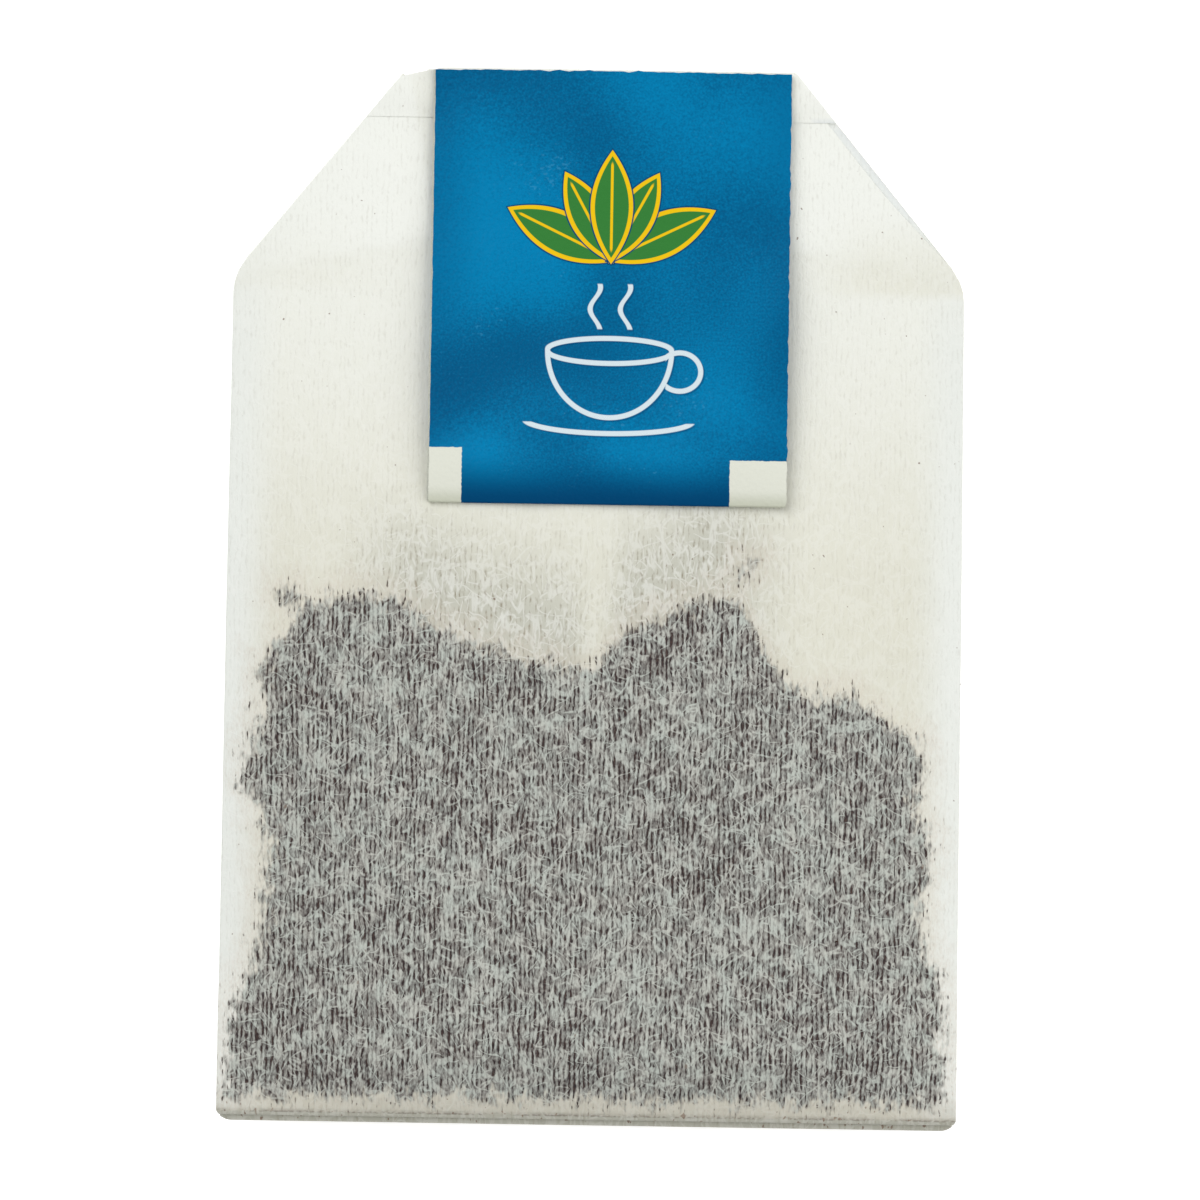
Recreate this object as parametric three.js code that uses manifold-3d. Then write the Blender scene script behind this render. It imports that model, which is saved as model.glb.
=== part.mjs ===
// A double-chamber tea bag lying on its back, with its tag laid over its head.
// X runs across the bag, Y along it from the bottom fold to the head, Z up through
// its thickness. The origin is under the middle of the bag, on the surface it rests on.
//
// The bag is one strip of filter paper, rolled into a flat tube with a lengthwise seam.
// The tube holds two portions of tea. It is folded in a W at the bottom, so that the
// portions lie back to back in two chambers, and its two open ends meet at the head.
// There both ends are turned over the front in a narrow cuff, the corners are folded
// back on a slant, and a wire staple holds all of it shut.

import * as THREE from 'three';
import { mergeVertices } from 'three/addons/utils/BufferGeometryUtils.js';
import Module from 'manifold-3d';

// Driving dimensions, in millimetres and degrees.
const BAG = {
  length: 63.2,
  halfWidthBottom: 22.1,
  halfWidthShoulder: 21.9,
  halfWidthHead: 11.6,
  slant: 39.4,
  shoulderRadius: 3.3,
  cornerRadius: 0.8
};
const PAPER = { wall: 0.08, halfFlat: 0.15, pitch: 0.42 };
const SEAM = { halfWidth: 1.5, edge: 0.2, rise: 0.04 };
const GUSSET = { height: 6.5, settle: 2.5 };
const CHAMBER = {
  middle: 3.3,
  crown: 3.0,
  fillFrom: 4.6,
  fullTo: 24,
  flatFrom: 47,
  restTo: 27,
  restHalf: 0.6,
  roundPower: 3,
  fullness: 0.8
};
const HEAD = { middle: 1.9, droopFrom: 28, droopTo: 50, cuff: 3.0 };
const FLAP = {
  gap: 0.12,
  thick: 0.3,
  headInset: [0.4, 0.5],
  shoulderInset: [0.7, 0.8],
  edgeInset: 0.3,
  bendWidth: 0.4,
  bendInset: 0.06
};
const TEA = {
  clearance: 0.4,
  bottom: 2.6,
  halfWidth: 18.8,
  top: 24.5,
  lobes: [{ x: -12.5, rise: 5.5, spread: 6 }, { x: 8.5, rise: 7, spread: 4.5 }],
  leastDepth: 0.15,
  rimHeight: 0.5,
  rings: [1, 0.96, 0.85, 0.6, 0.3],
  floorRing: 0.97
};
const STAPLE = {
  halfSpan: 3.5,
  wire: 0.4,
  y: 61.3,
  play: 0.15,
  clinch: 2.4,
  bend: 0.25,
  clear: 0.1,
  holeDepth: 6
};
const TAG = {
  width: 21.3,
  length: 25.9,
  right: 0.7,
  top: 63.0,
  ply: 0.12,
  plyGap: 0.16,
  headLift: 0.62,
  tailLift: 0.35,
  bow: 0.35
};

const TURN_STEPS = 4;
const PLY_STEPS = 10;
const CHAMBER_STEPS = 16;
const HEAD_STEPS = 4;
const GUSSET_STEPS = 2;
const TEA_STEPS = 40;
const TAG_STEPS = 12;
const HOLE_SEGMENTS = 12;
const WIRE_STEPS = 32;
const WIRE_SEGMENTS = 8;
const FOLD_ANGLES = [-60, -30, 0, 30, 60];

const clamp01 = (value) => Math.min(1, Math.max(0, value));
const radians = (degrees) => (degrees * Math.PI) / 180;

function smoothStep(from, to, value) {
  const t = clamp01((value - from) / (to - from));
  return t * t * (3 - 2 * t);
}

// Outline of the flat bag.

const shoulderY = BAG.length
  - (BAG.halfWidthShoulder - BAG.halfWidthHead) / Math.tan(radians(BAG.slant));
const shoulderTangent = BAG.shoulderRadius * Math.tan(radians(BAG.slant) / 2);

function halfWidth(y) {
  const { cornerRadius: corner, shoulderRadius: round } = BAG;
  const arcStart = shoulderY - shoulderTangent;
  const arcEnd = shoulderY + shoulderTangent * Math.cos(radians(BAG.slant));
  if (y > arcEnd) {
    return BAG.halfWidthHead + (BAG.length - y) * Math.tan(radians(BAG.slant));
  }
  if (y > arcStart) {
    return BAG.halfWidthShoulder - round + Math.sqrt(round ** 2 - (y - arcStart) ** 2);
  }
  const side = THREE.MathUtils.lerp(BAG.halfWidthBottom, BAG.halfWidthShoulder, y / arcStart);
  const cut = Math.max(0, corner - y);
  return side - corner + Math.sqrt(corner ** 2 - cut ** 2);
}

// Side view of the folded tube. The chambers lie each side of a middle plane, which sinks
// towards the head. Each leg of the tube is some number of half pitches from it.

const turnRadius = PAPER.pitch / 2;
const bottomTurnY = turnRadius + PAPER.halfFlat;
const gussetTurnY = GUSSET.height - turnRadius - PAPER.halfFlat;
const headTurnY = BAG.length - 3 * turnRadius - PAPER.halfFlat;
const cuffY = BAG.length - HEAD.cuff;

function middleZ(y) {
  const droop = smoothStep(HEAD.droopFrom, HEAD.droopTo, y);
  return THREE.MathUtils.lerp(CHAMBER.middle, HEAD.middle, droop);
}

function chamberEdgeZ(side, y) {
  const above = 1 - smoothStep(GUSSET.height, GUSSET.height + GUSSET.settle, y);
  return middleZ(y) + side * turnRadius * (1 + 2 * above);
}

// How far a chamber's outer paper stands off the chamber's edge, along its middle line.
function chamberDepth(side, y) {
  const rise = Math.sin((Math.PI / 2) * clamp01((y - bottomTurnY) / CHAMBER.fillFrom));
  const fullTo = side > 0 ? CHAMBER.fullTo : CHAMBER.restTo;
  const fall = 1 - smoothStep(fullTo, CHAMBER.flatFrom, y);
  const fullZ = side > 0 ? middleZ(y) + CHAMBER.crown : 0;
  const full = side * (fullZ - chamberEdgeZ(side, y));
  return THREE.MathUtils.lerp(PAPER.halfFlat, full, rise * fall);
}

// The same across the bag, from 1 on the middle line to 0 at the side folds.
function crossProfile(side, u) {
  if (side > 0) {
    return (1 - Math.abs(u) ** CHAMBER.roundPower) ** CHAMBER.fullness;
  }
  const past = Math.max(0, Math.abs(u) - CHAMBER.restHalf) / (1 - CHAMBER.restHalf);
  return Math.sqrt(1 - past ** 2);
}

function outerOffset(side, x, y) {
  const u = clamp01(Math.abs(x) / (halfWidth(y) - PAPER.halfFlat));
  return PAPER.halfFlat + (chamberDepth(side, y) - PAPER.halfFlat) * crossProfile(side, u);
}

// Stations down the tube: its place and heading in the YZ plane, and its chamber if any.

function leg(stations, levels, fromY, toY, steps, chamber) {
  const heading = Math.sign(toY - fromY);
  for (let i = 0; i <= steps; i++) {
    const y = THREE.MathUtils.lerp(fromY, toY, i / steps);
    const z = chamber ? chamberEdgeZ(chamber, y) : middleZ(y) + levels * turnRadius;
    stations.push({ y, z, dy: heading, dz: 0, chamber });
  }
}

function turn(stations, y, levels, radius, heading, swing) {
  for (let i = 1; i < TURN_STEPS; i++) {
    const angle = (Math.PI * i) / TURN_STEPS;
    stations.push({
      y: y + heading * radius * Math.sin(angle),
      z: middleZ(y) + levels * turnRadius - swing * radius * Math.cos(angle),
      dy: heading * Math.cos(angle),
      dz: swing * Math.sin(angle),
      chamber: 0
    });
  }
}

function tubeStations() {
  const s = [];
  const chamberTopY = CHAMBER.flatFrom - 2;
  leg(s, 3, cuffY, headTurnY, 1, 0);
  turn(s, headTurnY, 2, turnRadius, 1, -1);
  leg(s, 1, headTurnY, CHAMBER.flatFrom, HEAD_STEPS, 0);
  leg(s, 0, chamberTopY, bottomTurnY, CHAMBER_STEPS, 1);
  turn(s, bottomTurnY, 2, turnRadius, -1, -1);
  leg(s, 1, bottomTurnY, gussetTurnY, GUSSET_STEPS, 0);
  turn(s, gussetTurnY, 0, turnRadius, 1, -1);
  leg(s, -1, gussetTurnY, bottomTurnY, GUSSET_STEPS, 0);
  turn(s, bottomTurnY, -2, turnRadius, -1, -1);
  leg(s, 0, bottomTurnY, chamberTopY, CHAMBER_STEPS, -1);
  leg(s, -1, CHAMBER.flatFrom, headTurnY, HEAD_STEPS, 0);
  turn(s, headTurnY, 2, 3 * turnRadius, 1, 1);
  leg(s, 5, headTurnY, cuffY, 1, 0);
  return s;
}

// One closed section of the tube at a station, as points across (x) and through (n) it.
// inset is 0 for the paper's outer face and the wall thickness for its inner face.
function tubeSection(station, inset) {
  const w = halfWidth(station.y) - PAPER.halfFlat;
  const flat = PAPER.halfFlat - inset;
  const points = [];
  const foldAngles = [Math.PI / 4, 0, -Math.PI / 4];
  for (let i = 0; i <= PLY_STEPS; i++) {
    const x = -w * Math.cos((Math.PI * i) / PLY_STEPS);
    const offset = station.chamber ? outerOffset(station.chamber, x, station.y) : PAPER.halfFlat;
    points.push([x, offset - inset]);
  }
  foldAngles.forEach((a) => points.push([w + flat * Math.cos(a), flat * Math.sin(a)]));
  const seam = inset ? 0 : SEAM.rise;
  const seamFoot = SEAM.halfWidth + SEAM.edge;
  points.push([w, -flat], [w * 0.5, -flat]);
  points.push([seamFoot, -flat], [SEAM.halfWidth, -flat - seam]);
  points.push([-SEAM.halfWidth, -flat - seam], [-seamFoot, -flat]);
  points.push([-w * 0.5, -flat], [-w, -flat]);
  foldAngles.reverse().forEach((a) => points.push([-w - flat * Math.cos(a), flat * Math.sin(a)]));
  return points.map(([x, n]) => [x, station.y + n * station.dz, station.z - n * station.dy]);
}

// Solids.

function geometryFrom(positions, triangles) {
  const geometry = new THREE.BufferGeometry();
  geometry.setAttribute('position', new THREE.Float32BufferAttribute(positions.flat(), 3));
  geometry.setIndex(triangles.flat());
  return geometry;
}

function stripBetween(a, b, count) {
  const triangles = [];
  for (let i = 0; i < count; i++) {
    const j = (i + 1) % count;
    triangles.push([a + i, b + i, b + j], [a + i, b + j, a + j]);
  }
  return triangles;
}

function tubeGeometry() {
  const stations = tubeStations();
  const outer = stations.map((station) => tubeSection(station, 0));
  const inner = stations.map((station) => tubeSection(station, PAPER.wall));
  const count = outer[0].length;
  const last = stations.length - 1;
  const innerStart = stations.length * count;
  const triangles = [];
  for (let k = 0; k < last; k++) {
    triangles.push(...stripBetween(k * count, (k + 1) * count, count));
    triangles.push(...stripBetween(innerStart + (k + 1) * count, innerStart + k * count, count));
  }
  triangles.push(...stripBetween(innerStart, 0, count));
  triangles.push(...stripBetween(last * count, innerStart + last * count, count));
  return geometryFrom([...outer.flat(), ...inner.flat()], triangles);
}

const wasm = await Module();
wasm.setup();

function solidOf(geometry) {
  const bare = geometry.clone();
  bare.deleteAttribute('normal');
  bare.deleteAttribute('uv');
  const merged = mergeVertices(bare);
  return new wasm.Manifold(new wasm.Mesh({
    numProp: 3,
    vertProperties: new Float32Array(merged.attributes.position.array),
    triVerts: new Uint32Array(merged.index.array)
  }));
}

function geometryOf(solid) {
  const mesh = solid.getMesh();
  const geometry = new THREE.BufferGeometry();
  geometry.setAttribute('position', new THREE.BufferAttribute(mesh.vertProperties, 3));
  geometry.setIndex(new THREE.BufferAttribute(mesh.triVerts, 1));
  geometry.computeVertexNormals();
  return geometry;
}

// An upright slab with the given outline in XY.
function slab(outline, low, high) {
  const shape = new THREE.Shape(outline.map(([x, y]) => new THREE.Vector2(x, y)));
  const geometry = new THREE.ExtrudeGeometry(shape, { depth: high - low, bevelEnabled: false });
  return geometry.translate(0, 0, low);
}

// A head corner, folded back along the slant behind the bag: the flap, which is the corner's
// mirror image in the slant line, and the bend that joins it to the tube's edge.
function cornerFold(hand) {
  const slantAcross = Math.sin(radians(BAG.slant));
  const slantAlong = Math.cos(radians(BAG.slant));
  const rearZ = HEAD.middle - turnRadius;
  const flapTop = rearZ - PAPER.halfFlat - FLAP.gap;
  const flapBottom = flapTop - FLAP.thick;
  const mirrored = (x, y) => {
    const beyond = (x - BAG.halfWidthHead) * slantAlong + (y - BAG.length) * slantAcross;
    return [x - 2 * beyond * slantAlong, y - 2 * beyond * slantAcross];
  };
  const inwards = ([x, y], by) => [x - by * slantAlong, y - by * slantAcross];
  const headCorner = [
    BAG.halfWidthHead + FLAP.headInset[0],
    BAG.length - FLAP.headInset[1]
  ];
  const shoulder = [
    BAG.halfWidthShoulder - FLAP.shoulderInset[0],
    shoulderY + FLAP.shoulderInset[1]
  ];
  const tip = mirrored(BAG.halfWidthShoulder, BAG.length);
  const flap = [inwards(headCorner, FLAP.edgeInset), tip, inwards(shoulder, FLAP.edgeInset)];
  const bend = [
    headCorner,
    inwards(headCorner, FLAP.bendWidth),
    inwards(shoulder, FLAP.bendWidth),
    shoulder
  ].map((corner) => inwards(corner, FLAP.bendInset));
  const place = (outline) => {
    const placed = outline.map(([x, y]) => [hand * x, y]);
    return hand > 0 ? placed : placed.reverse();
  };
  const flapSolid = solidOf(slab(place(flap), flapBottom, flapTop));
  return flapSolid.add(solidOf(slab(place(bend), flapBottom, rearZ)));
}

function stapleHole(hand) {
  const radius = STAPLE.wire / 2 + STAPLE.play;
  const hole = new THREE.CylinderGeometry(radius, radius, STAPLE.holeDepth, HOLE_SEGMENTS);
  return hole.rotateX(Math.PI / 2).translate(hand * STAPLE.halfSpan, STAPLE.y, HEAD.middle);
}

function makeFilterBag() {
  let solid = solidOf(tubeGeometry());
  for (const hand of [-1, 1]) {
    solid = solid.add(cornerFold(hand)).subtract(solidOf(stapleHole(hand)));
  }
  return geometryOf(solid);
}

// A portion of loose tea, packed flat against the inner paper and domed under the outer.

function teaTopY(x) {
  const bump = ({ x: centre, rise, spread }) => rise * Math.exp(-(((x - centre) / spread) ** 2));
  return TEA.top + TEA.lobes.reduce((sum, lobe) => sum + bump(lobe), 0);
}

function teaOutline() {
  const points = [];
  for (let i = 0; i < TEA_STEPS; i++) {
    const angle = (2 * Math.PI * i) / TEA_STEPS;
    const round = (value) => Math.sign(value) * Math.sqrt(Math.abs(value));
    const x = TEA.halfWidth * round(Math.cos(angle));
    const top = teaTopY(x);
    const middle = (top + TEA.bottom) / 2;
    points.push([x, middle + (top - middle) * round(Math.sin(angle))]);
  }
  return points;
}

function makeTea(side) {
  const { rings } = TEA;
  const outline = teaOutline();
  const centre = [0, (TEA.top + TEA.bottom) / 2];
  const floor = PAPER.wall - PAPER.halfFlat + TEA.clearance;
  const height = (x, y, ring) => {
    const room = outerOffset(side, x, y) - PAPER.wall - TEA.clearance - floor;
    return floor + Math.max(TEA.leastDepth, room) * (ring === 1 ? TEA.rimHeight : 1);
  };
  const positions = [];
  const addPoint = (x, y, n) => positions.push([x, y, chamberEdgeZ(side, y) + side * n]);
  const ringPoint = ([x, y], ring) => [
    centre[0] + (x - centre[0]) * ring,
    centre[1] + (y - centre[1]) * ring
  ];
  for (const ring of rings) {
    outline.map((p) => ringPoint(p, ring)).forEach(([x, y]) => addPoint(x, y, height(x, y, ring)));
  }
  outline.map((p) => ringPoint(p, TEA.floorRing)).forEach(([x, y]) => addPoint(x, y, floor));
  addPoint(...centre, height(...centre, 0));
  addPoint(...centre, floor);
  const count = outline.length;
  const floorRing = rings.length * count;
  const crownCentre = floorRing + count;
  const triangles = [];
  for (let k = 1; k < rings.length; k++) {
    triangles.push(...stripBetween(k * count, (k - 1) * count, count));
  }
  triangles.push(...stripBetween(0, floorRing, count));
  for (let i = 0; i < count; i++) {
    const j = (i + 1) % count;
    triangles.push([crownCentre, floorRing - count + i, floorRing - count + j]);
    triangles.push([crownCentre + 1, floorRing + j, floorRing + i]);
  }
  const facing = side > 0 ? triangles : triangles.map(([a, b, c]) => [a, c, b]);
  return geometryFrom(positions, facing);
}

// The staple: its crown lies behind the head, and its legs come through and are clinched
// over the cuff towards each other.
function makeStaple() {
  const reach = PAPER.halfFlat + STAPLE.clear + STAPLE.wire / 2;
  const below = HEAD.middle - turnRadius - reach;
  const above = HEAD.middle + 5 * turnRadius + reach;
  const { bend } = STAPLE;
  const path = new THREE.CurvePath();
  const at = (x, z) => new THREE.Vector3(x, STAPLE.y, z);
  const line = (from, to) => path.add(new THREE.LineCurve3(from, to));
  const corner = (from, by, to) => path.add(new THREE.QuadraticBezierCurve3(from, by, to));
  const span = STAPLE.halfSpan;
  line(at(-span + STAPLE.clinch, above), at(-span + bend, above));
  corner(at(-span + bend, above), at(-span, above), at(-span, above - bend));
  line(at(-span, above - bend), at(-span, below + bend));
  corner(at(-span, below + bend), at(-span, below), at(-span + bend, below));
  line(at(-span + bend, below), at(span - bend, below));
  corner(at(span - bend, below), at(span, below), at(span, below + bend));
  line(at(span, below + bend), at(span, above - bend));
  corner(at(span, above - bend), at(span, above), at(span - bend, above));
  line(at(span - bend, above), at(span - STAPLE.clinch, above));
  const section = new THREE.Shape().absarc(0, 0, STAPLE.wire / 2, 0, 2 * Math.PI);
  return new THREE.ExtrudeGeometry(section, {
    steps: WIRE_STEPS,
    curveSegments: WIRE_SEGMENTS,
    extrudePath: path,
    bevelEnabled: false
  });
}

// The tag: one piece of paper folded double at its lower edge, leaning from the head's cuff
// to the front chamber with a slight bow.
function makeTag() {
  const tail = TAG.top - TAG.length;
  const headZ = HEAD.middle + 5 * turnRadius + PAPER.halfFlat + TAG.headLift;
  const tailZ = chamberEdgeZ(1, tail) + chamberDepth(1, tail) + TAG.tailLift;
  const under = (t) => THREE.MathUtils.lerp(headZ, tailZ, t) + TAG.bow * 4 * t * (1 - t);
  const total = 2 * TAG.ply + TAG.plyGap;
  const half = total / 2;
  const straight = TAG.length - half;
  const face = (height, forwards) => {
    const points = [];
    for (let i = 0; i <= TAG_STEPS; i++) {
      const t = forwards ? i / TAG_STEPS : 1 - i / TAG_STEPS;
      points.push([TAG.top - straight * t, under(t) + height]);
    }
    return points;
  };
  const fold = (radius, sign) => FOLD_ANGLES.map((degrees) => [
    tail + half - radius * Math.cos(radians(degrees)),
    under(1) + half + sign * radius * Math.sin(radians(degrees))
  ]);
  const outline = [
    ...face(total, true),
    ...fold(half, -1),
    ...face(0, false),
    ...face(TAG.ply, true),
    ...fold(half - TAG.ply, 1),
    ...face(total - TAG.ply, false)
  ];
  const shape = new THREE.Shape(outline.map(([y, z]) => new THREE.Vector2(y, z)));
  const geometry = new THREE.ExtrudeGeometry(shape, { depth: TAG.width, bevelEnabled: false });
  const yzxToXyz = new THREE.Matrix4().set(0, 0, 1, 0, 1, 0, 0, 0, 0, 1, 0, 0, 0, 0, 0, 1);
  return geometry.applyMatrix4(yzxToXyz).translate(TAG.right - TAG.width / 2, 0, 0);
}

function piece(name, geometry, colour, roughness, metalness) {
  const material = new THREE.MeshStandardMaterial({ color: colour, roughness, metalness });
  const mesh = new THREE.Mesh(geometry, material);
  mesh.name = name;
  mesh.position.y = -BAG.length / 2;
  return mesh;
}

const teaBag = new THREE.Group();
teaBag.add(
  piece('filter_bag', makeFilterBag(), 0xe9e8de, 0.9, 0),
  piece('front_tea', makeTea(1), 0x2b2019, 0.95, 0),
  piece('rear_tea', makeTea(-1), 0x2b2019, 0.95, 0),
  piece('head_staple', makeStaple(), 0xc9ccd0, 0.35, 1),
  piece('tag', makeTag(), 0x0870aa, 0.45, 0)
);

export default teaBag;
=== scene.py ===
"""A double-chamber tea bag with its paper tag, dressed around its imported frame."""

import logging
import math
from dataclasses import dataclass, field
from enum import Enum

import bmesh
import bpy
import numpy as np
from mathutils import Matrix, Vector, noise


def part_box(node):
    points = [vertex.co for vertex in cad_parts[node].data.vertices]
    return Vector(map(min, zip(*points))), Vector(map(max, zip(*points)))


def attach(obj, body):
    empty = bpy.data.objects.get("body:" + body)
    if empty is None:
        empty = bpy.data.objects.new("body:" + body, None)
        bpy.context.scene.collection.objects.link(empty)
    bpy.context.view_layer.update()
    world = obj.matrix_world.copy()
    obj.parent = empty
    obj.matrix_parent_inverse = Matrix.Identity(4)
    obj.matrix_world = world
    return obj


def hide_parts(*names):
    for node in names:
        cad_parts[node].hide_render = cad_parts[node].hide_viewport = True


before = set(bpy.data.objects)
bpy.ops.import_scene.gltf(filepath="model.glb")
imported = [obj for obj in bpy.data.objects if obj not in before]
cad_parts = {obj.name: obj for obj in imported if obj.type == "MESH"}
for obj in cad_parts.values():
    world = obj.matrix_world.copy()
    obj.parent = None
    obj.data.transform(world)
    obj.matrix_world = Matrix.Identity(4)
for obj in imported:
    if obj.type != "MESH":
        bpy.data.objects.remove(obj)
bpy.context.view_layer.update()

MM = 0.001
BODY = "root"
SHARP_ANGLE = math.radians(50)
LOG = logging.getLogger("tea_bag")
SEED_STEP = (7.3, 3.1, 1.0)
NO_TEA = -9.0
MOST_TEA = 4.0
SHOULDER_IN = 0.2
TAG_OVER_CUFF = 0.14
TAG_OVER_CHAMBER = 0.45
FIRST_SEED = 3

Pair = tuple[float, float]
Triple = tuple[float, float, float]
Colour = Triple
Points = np.ndarray


def linear(red: int, green: int, blue: int) -> Colour:
    """Turn a screen colour into the linear values that a shader wants.

    Args:
        red: Red, 0 to 255.
        green: Green, 0 to 255.
        blue: Blue, 0 to 255.

    Returns:
        The same colour with linear channels from 0 to 1.
    """
    levels = (red, green, blue)
    return tuple(((c / 255 + 0.055) / 1.055) ** 2.4 if c > 10 else c / 255 / 12.92 for c in levels)


def dimmed(colour: Colour, share: float) -> Colour:
    """Scale a linear colour by a share."""
    return tuple(channel * share for channel in colour)


def smooth_step(start: float, end: float, value: Points) -> Points:
    """Ease from 0 at start to 1 at end."""
    t = np.clip((np.asarray(value, float) - start) / (end - start), 0, 1)
    return t * t * (3 - 2 * t)


def ripple(points: Points, scale: Pair, seed: float) -> Points:
    """Sample smooth noise over flat places.

    Args:
        points: Places, with X and Y in millimetres in the last axis.
        scale: Size of the features along X and along Y, in millimetres.
        seed: Shift that tells one pattern from another.

    Returns:
        Values from about -1 to 1, one for each place.
    """
    flat = points.reshape(-1, points.shape[-1])
    values = [noise.noise(Vector((x / scale[0], y / scale[1], seed))) for x, y in flat[:, :2]]
    return np.array(values).reshape(points.shape[:-1])


# ---------------------------------------------------------------- sizes


@dataclass(frozen=True)
class BagSize:
    """Outline of the folded bag, in millimetres from its bottom fold."""

    length: float
    half_bottom: float
    half_shoulder: float
    half_head: float = 11.6
    slant: float = math.radians(39.4)
    shoulder_round: float = 3.3
    corner_round: float = 0.8
    crown_z: float = 6.3
    blunt_drop: float = 0.6
    blunt_in: float = 2.1
    peek: float = 0.55
    peek_from: float = 50.6
    peek_over: float = 6.0

    @property
    def shoulder_y(self) -> float:
        """Height of the sharp corner between the side and the slant."""
        return self.length - (self.half_shoulder - self.half_head) / math.tan(self.slant)


@dataclass(frozen=True)
class PlySize:
    """How the flattened tube of paper stacks, in millimetres."""

    wall: float = 0.02
    half_flat: float = 0.11
    turn: float = 0.15
    head_share: float = 0.42
    thin_from: float = 44.0
    thin_to: float = 56.0
    seam_half: float = 1.5
    seam_rise: float = 0.03
    gusset: float = 6.5
    gusset_settle: float = 2.5
    front_short: float = 0.4
    head_middle: float = 2.55
    chamber_middle: float = 3.3
    droop_from: float = 28.0
    droop_to: float = 50.0
    cuff: float = 3.0
    cuff_press: float = 0.75
    cuff_press_over: float = 1.8
    cuff_stack: float = 1.1
    most_wall: float = 0.6
    seam_edge: float = 0.1

    def pressed(self, y: float) -> float:
        """How much thinner the stack is pressed at a height, 1 where it isn't."""
        return 1 - (1 - self.head_share) * float(smooth_step(self.thin_from, self.thin_to, y))

    @property
    def head_top(self) -> float:
        """Height of the cuff's upper face."""
        return self.head_middle + (5 * self.turn + self.half_flat) * self.head_share

    @property
    def head_bottom(self) -> float:
        """Height of the rear chamber's lower face at the head."""
        return self.head_middle - (self.turn + self.half_flat) * self.head_share


@dataclass(frozen=True)
class FillSize:
    """How the chambers swell, in millimetres."""

    crown: float = 2.92
    fill_over: float = 4.6
    front_full_to: float = 24.0
    rear_full_to: float = 27.0
    flat_from: float = 47.0
    rest_half: float = 0.6
    round_power: float = 3.0
    flat_power: float = 1.15


@dataclass(frozen=True)
class CrumpleSize:
    """Waves and dents of the outer paper, in millimetres: height, size across and along, seed."""

    waves: tuple[tuple[float, Pair, float], ...] = (
        (0.13, (8.0, 11.0), 10.0), (0.06, (3.2, 4.6), 15.0),
    )
    lumps: tuple[tuple[float, Pair, float], ...] = (
        (0.05, (1.5, 1.9), 19.0), (0.03, (0.8, 1.0), 22.0),
    )
    loose_room: float = 1.2
    pucker: float = 0.10
    pucker_room: float = 1.6
    pucker_pitch: float = 1.15
    pucker_drift: float = 2.0
    pucker_size: Pair = (9.0, 6.0)
    pucker_seed: float = 13.0
    flap: float = 0.09
    flap_below: Pair = (59.6, 57.0)


@dataclass(frozen=True)
class MarkSize:
    """Where the marks of the paper lie, in millimetres; a pair is where a mark fades in or out."""

    margin: Pair = (3.4, 0.4)
    margin_below: Pair = (56, 46)
    column_x: float = 0.2
    column_half: float = 1.3
    column_clear: float = 0.8
    haze: Pair = (NO_TEA, -0.3)
    haze_below: Pair = (41, 35)
    haze_above: Pair = (8, 16)
    dust: float = 1.2
    dust_x: float = -1.5
    dust_within: Pair = (15, 7)
    foot_wide: Pair = (2.4, 1.3)
    foot_wide_share: float = 0.45
    foot_edge: Pair = (1.0, 0.6)
    foot_edge_share: float = 0.55
    lit_above: Pair = (30, 50)
    lit: float = 0.75
    lit_flap: float = 0.3
    # The rear ply's band past the front ply's inset edge, with that edge's shade painted on it.
    sheer_and_shade_gap: float = 1.9
    sheer_and_shade_fade: float = 0.5
    sheer_and_shade_least: float = 0.05
    crease_y: float = 0.55
    crease_half: float = 0.17
    # Band of painted shade, creamier and darker, above the corner flaps' lower edge.
    flap_edge_shade_beyond: Pair = (12, 17)
    flap_edge_shade_left: float = 0.3
    flap_edge_shade_above: Pair = (49.6, 50.1)
    flap_edge_shade_below: Pair = (55.5, 51.0)
    flap_low: Pair = (-0.5, 0.4)
    flap_inner: Pair = (-0.3, 0.3)


@dataclass(frozen=True)
class TeaOutline:
    """Edge of the tea behind the paper, in millimetres across and up from the bottom fold."""

    top: tuple[Pair, ...] = (
        (-20.2, 27.2), (-18.7, 28.8), (-16.9, 31.0), (-14.5, 31.9), (-11.6, 31.3), (-9.2, 30.0),
        (-6.8, 28.7), (-2.9, 27.8), (-0.2, 27.3), (0.9, 28.4), (1.8, 29.7), (3.4, 30.4),
        (6.3, 31.4), (8.4, 32.2), (9.8, 29.2), (11.8, 26.4), (15.4, 26.1), (17.2, 24.8), (19.8, 23.2),
    )
    left: tuple[Pair, ...] = (
        (1.5, -21.6), (5.0, -21.6), (7.3, -21.2), (9.3, -20.4), (12.0, -19.5), (15.6, -19.3),
        (18.8, -19.6), (20.0, -21.0), (21.8, -20.7), (24.0, -20.0), (28.0, -19.6),
    )
    right: tuple[Pair, ...] = (
        (1.5, 21.4), (7.3, 21.3), (9.4, 21.0), (12.0, 19.9), (14.4, 19.9), (16.8, 20.6),
        (19.8, 19.4), (21.6, 19.9), (24.0, 19.4),
    )
    bottom: float = 1.5
    strays: tuple[Triple, ...] = (
        (-18.0, 31.2, 0.75), (9.1, 33.6, 0.45), (-21.2, 4.0, 0.6),
    )

    def depth(self, x: Points, y: Points) -> Points:
        """How far inside the tea each place lies.

        Args:
            x: Places across the bag.
            y: Places up from the bottom fold.

        Returns:
            Depth in millimetres, negative outside.
        """
        top_x, top_y = np.array(self.top).T
        left_y, left_x = np.array(self.left).T
        right_y, right_x = np.array(self.right).T
        depth = np.minimum.reduce([
            np.interp(x, top_x, top_y) - y,
            x - np.interp(y, left_y, left_x),
            np.interp(y, right_y, right_x) - x,
            y - self.bottom,
        ])
        for at_x, at_y, radius in self.strays:
            depth = np.maximum(depth, radius - np.hypot(x - at_x, y - at_y))
        return depth


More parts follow.
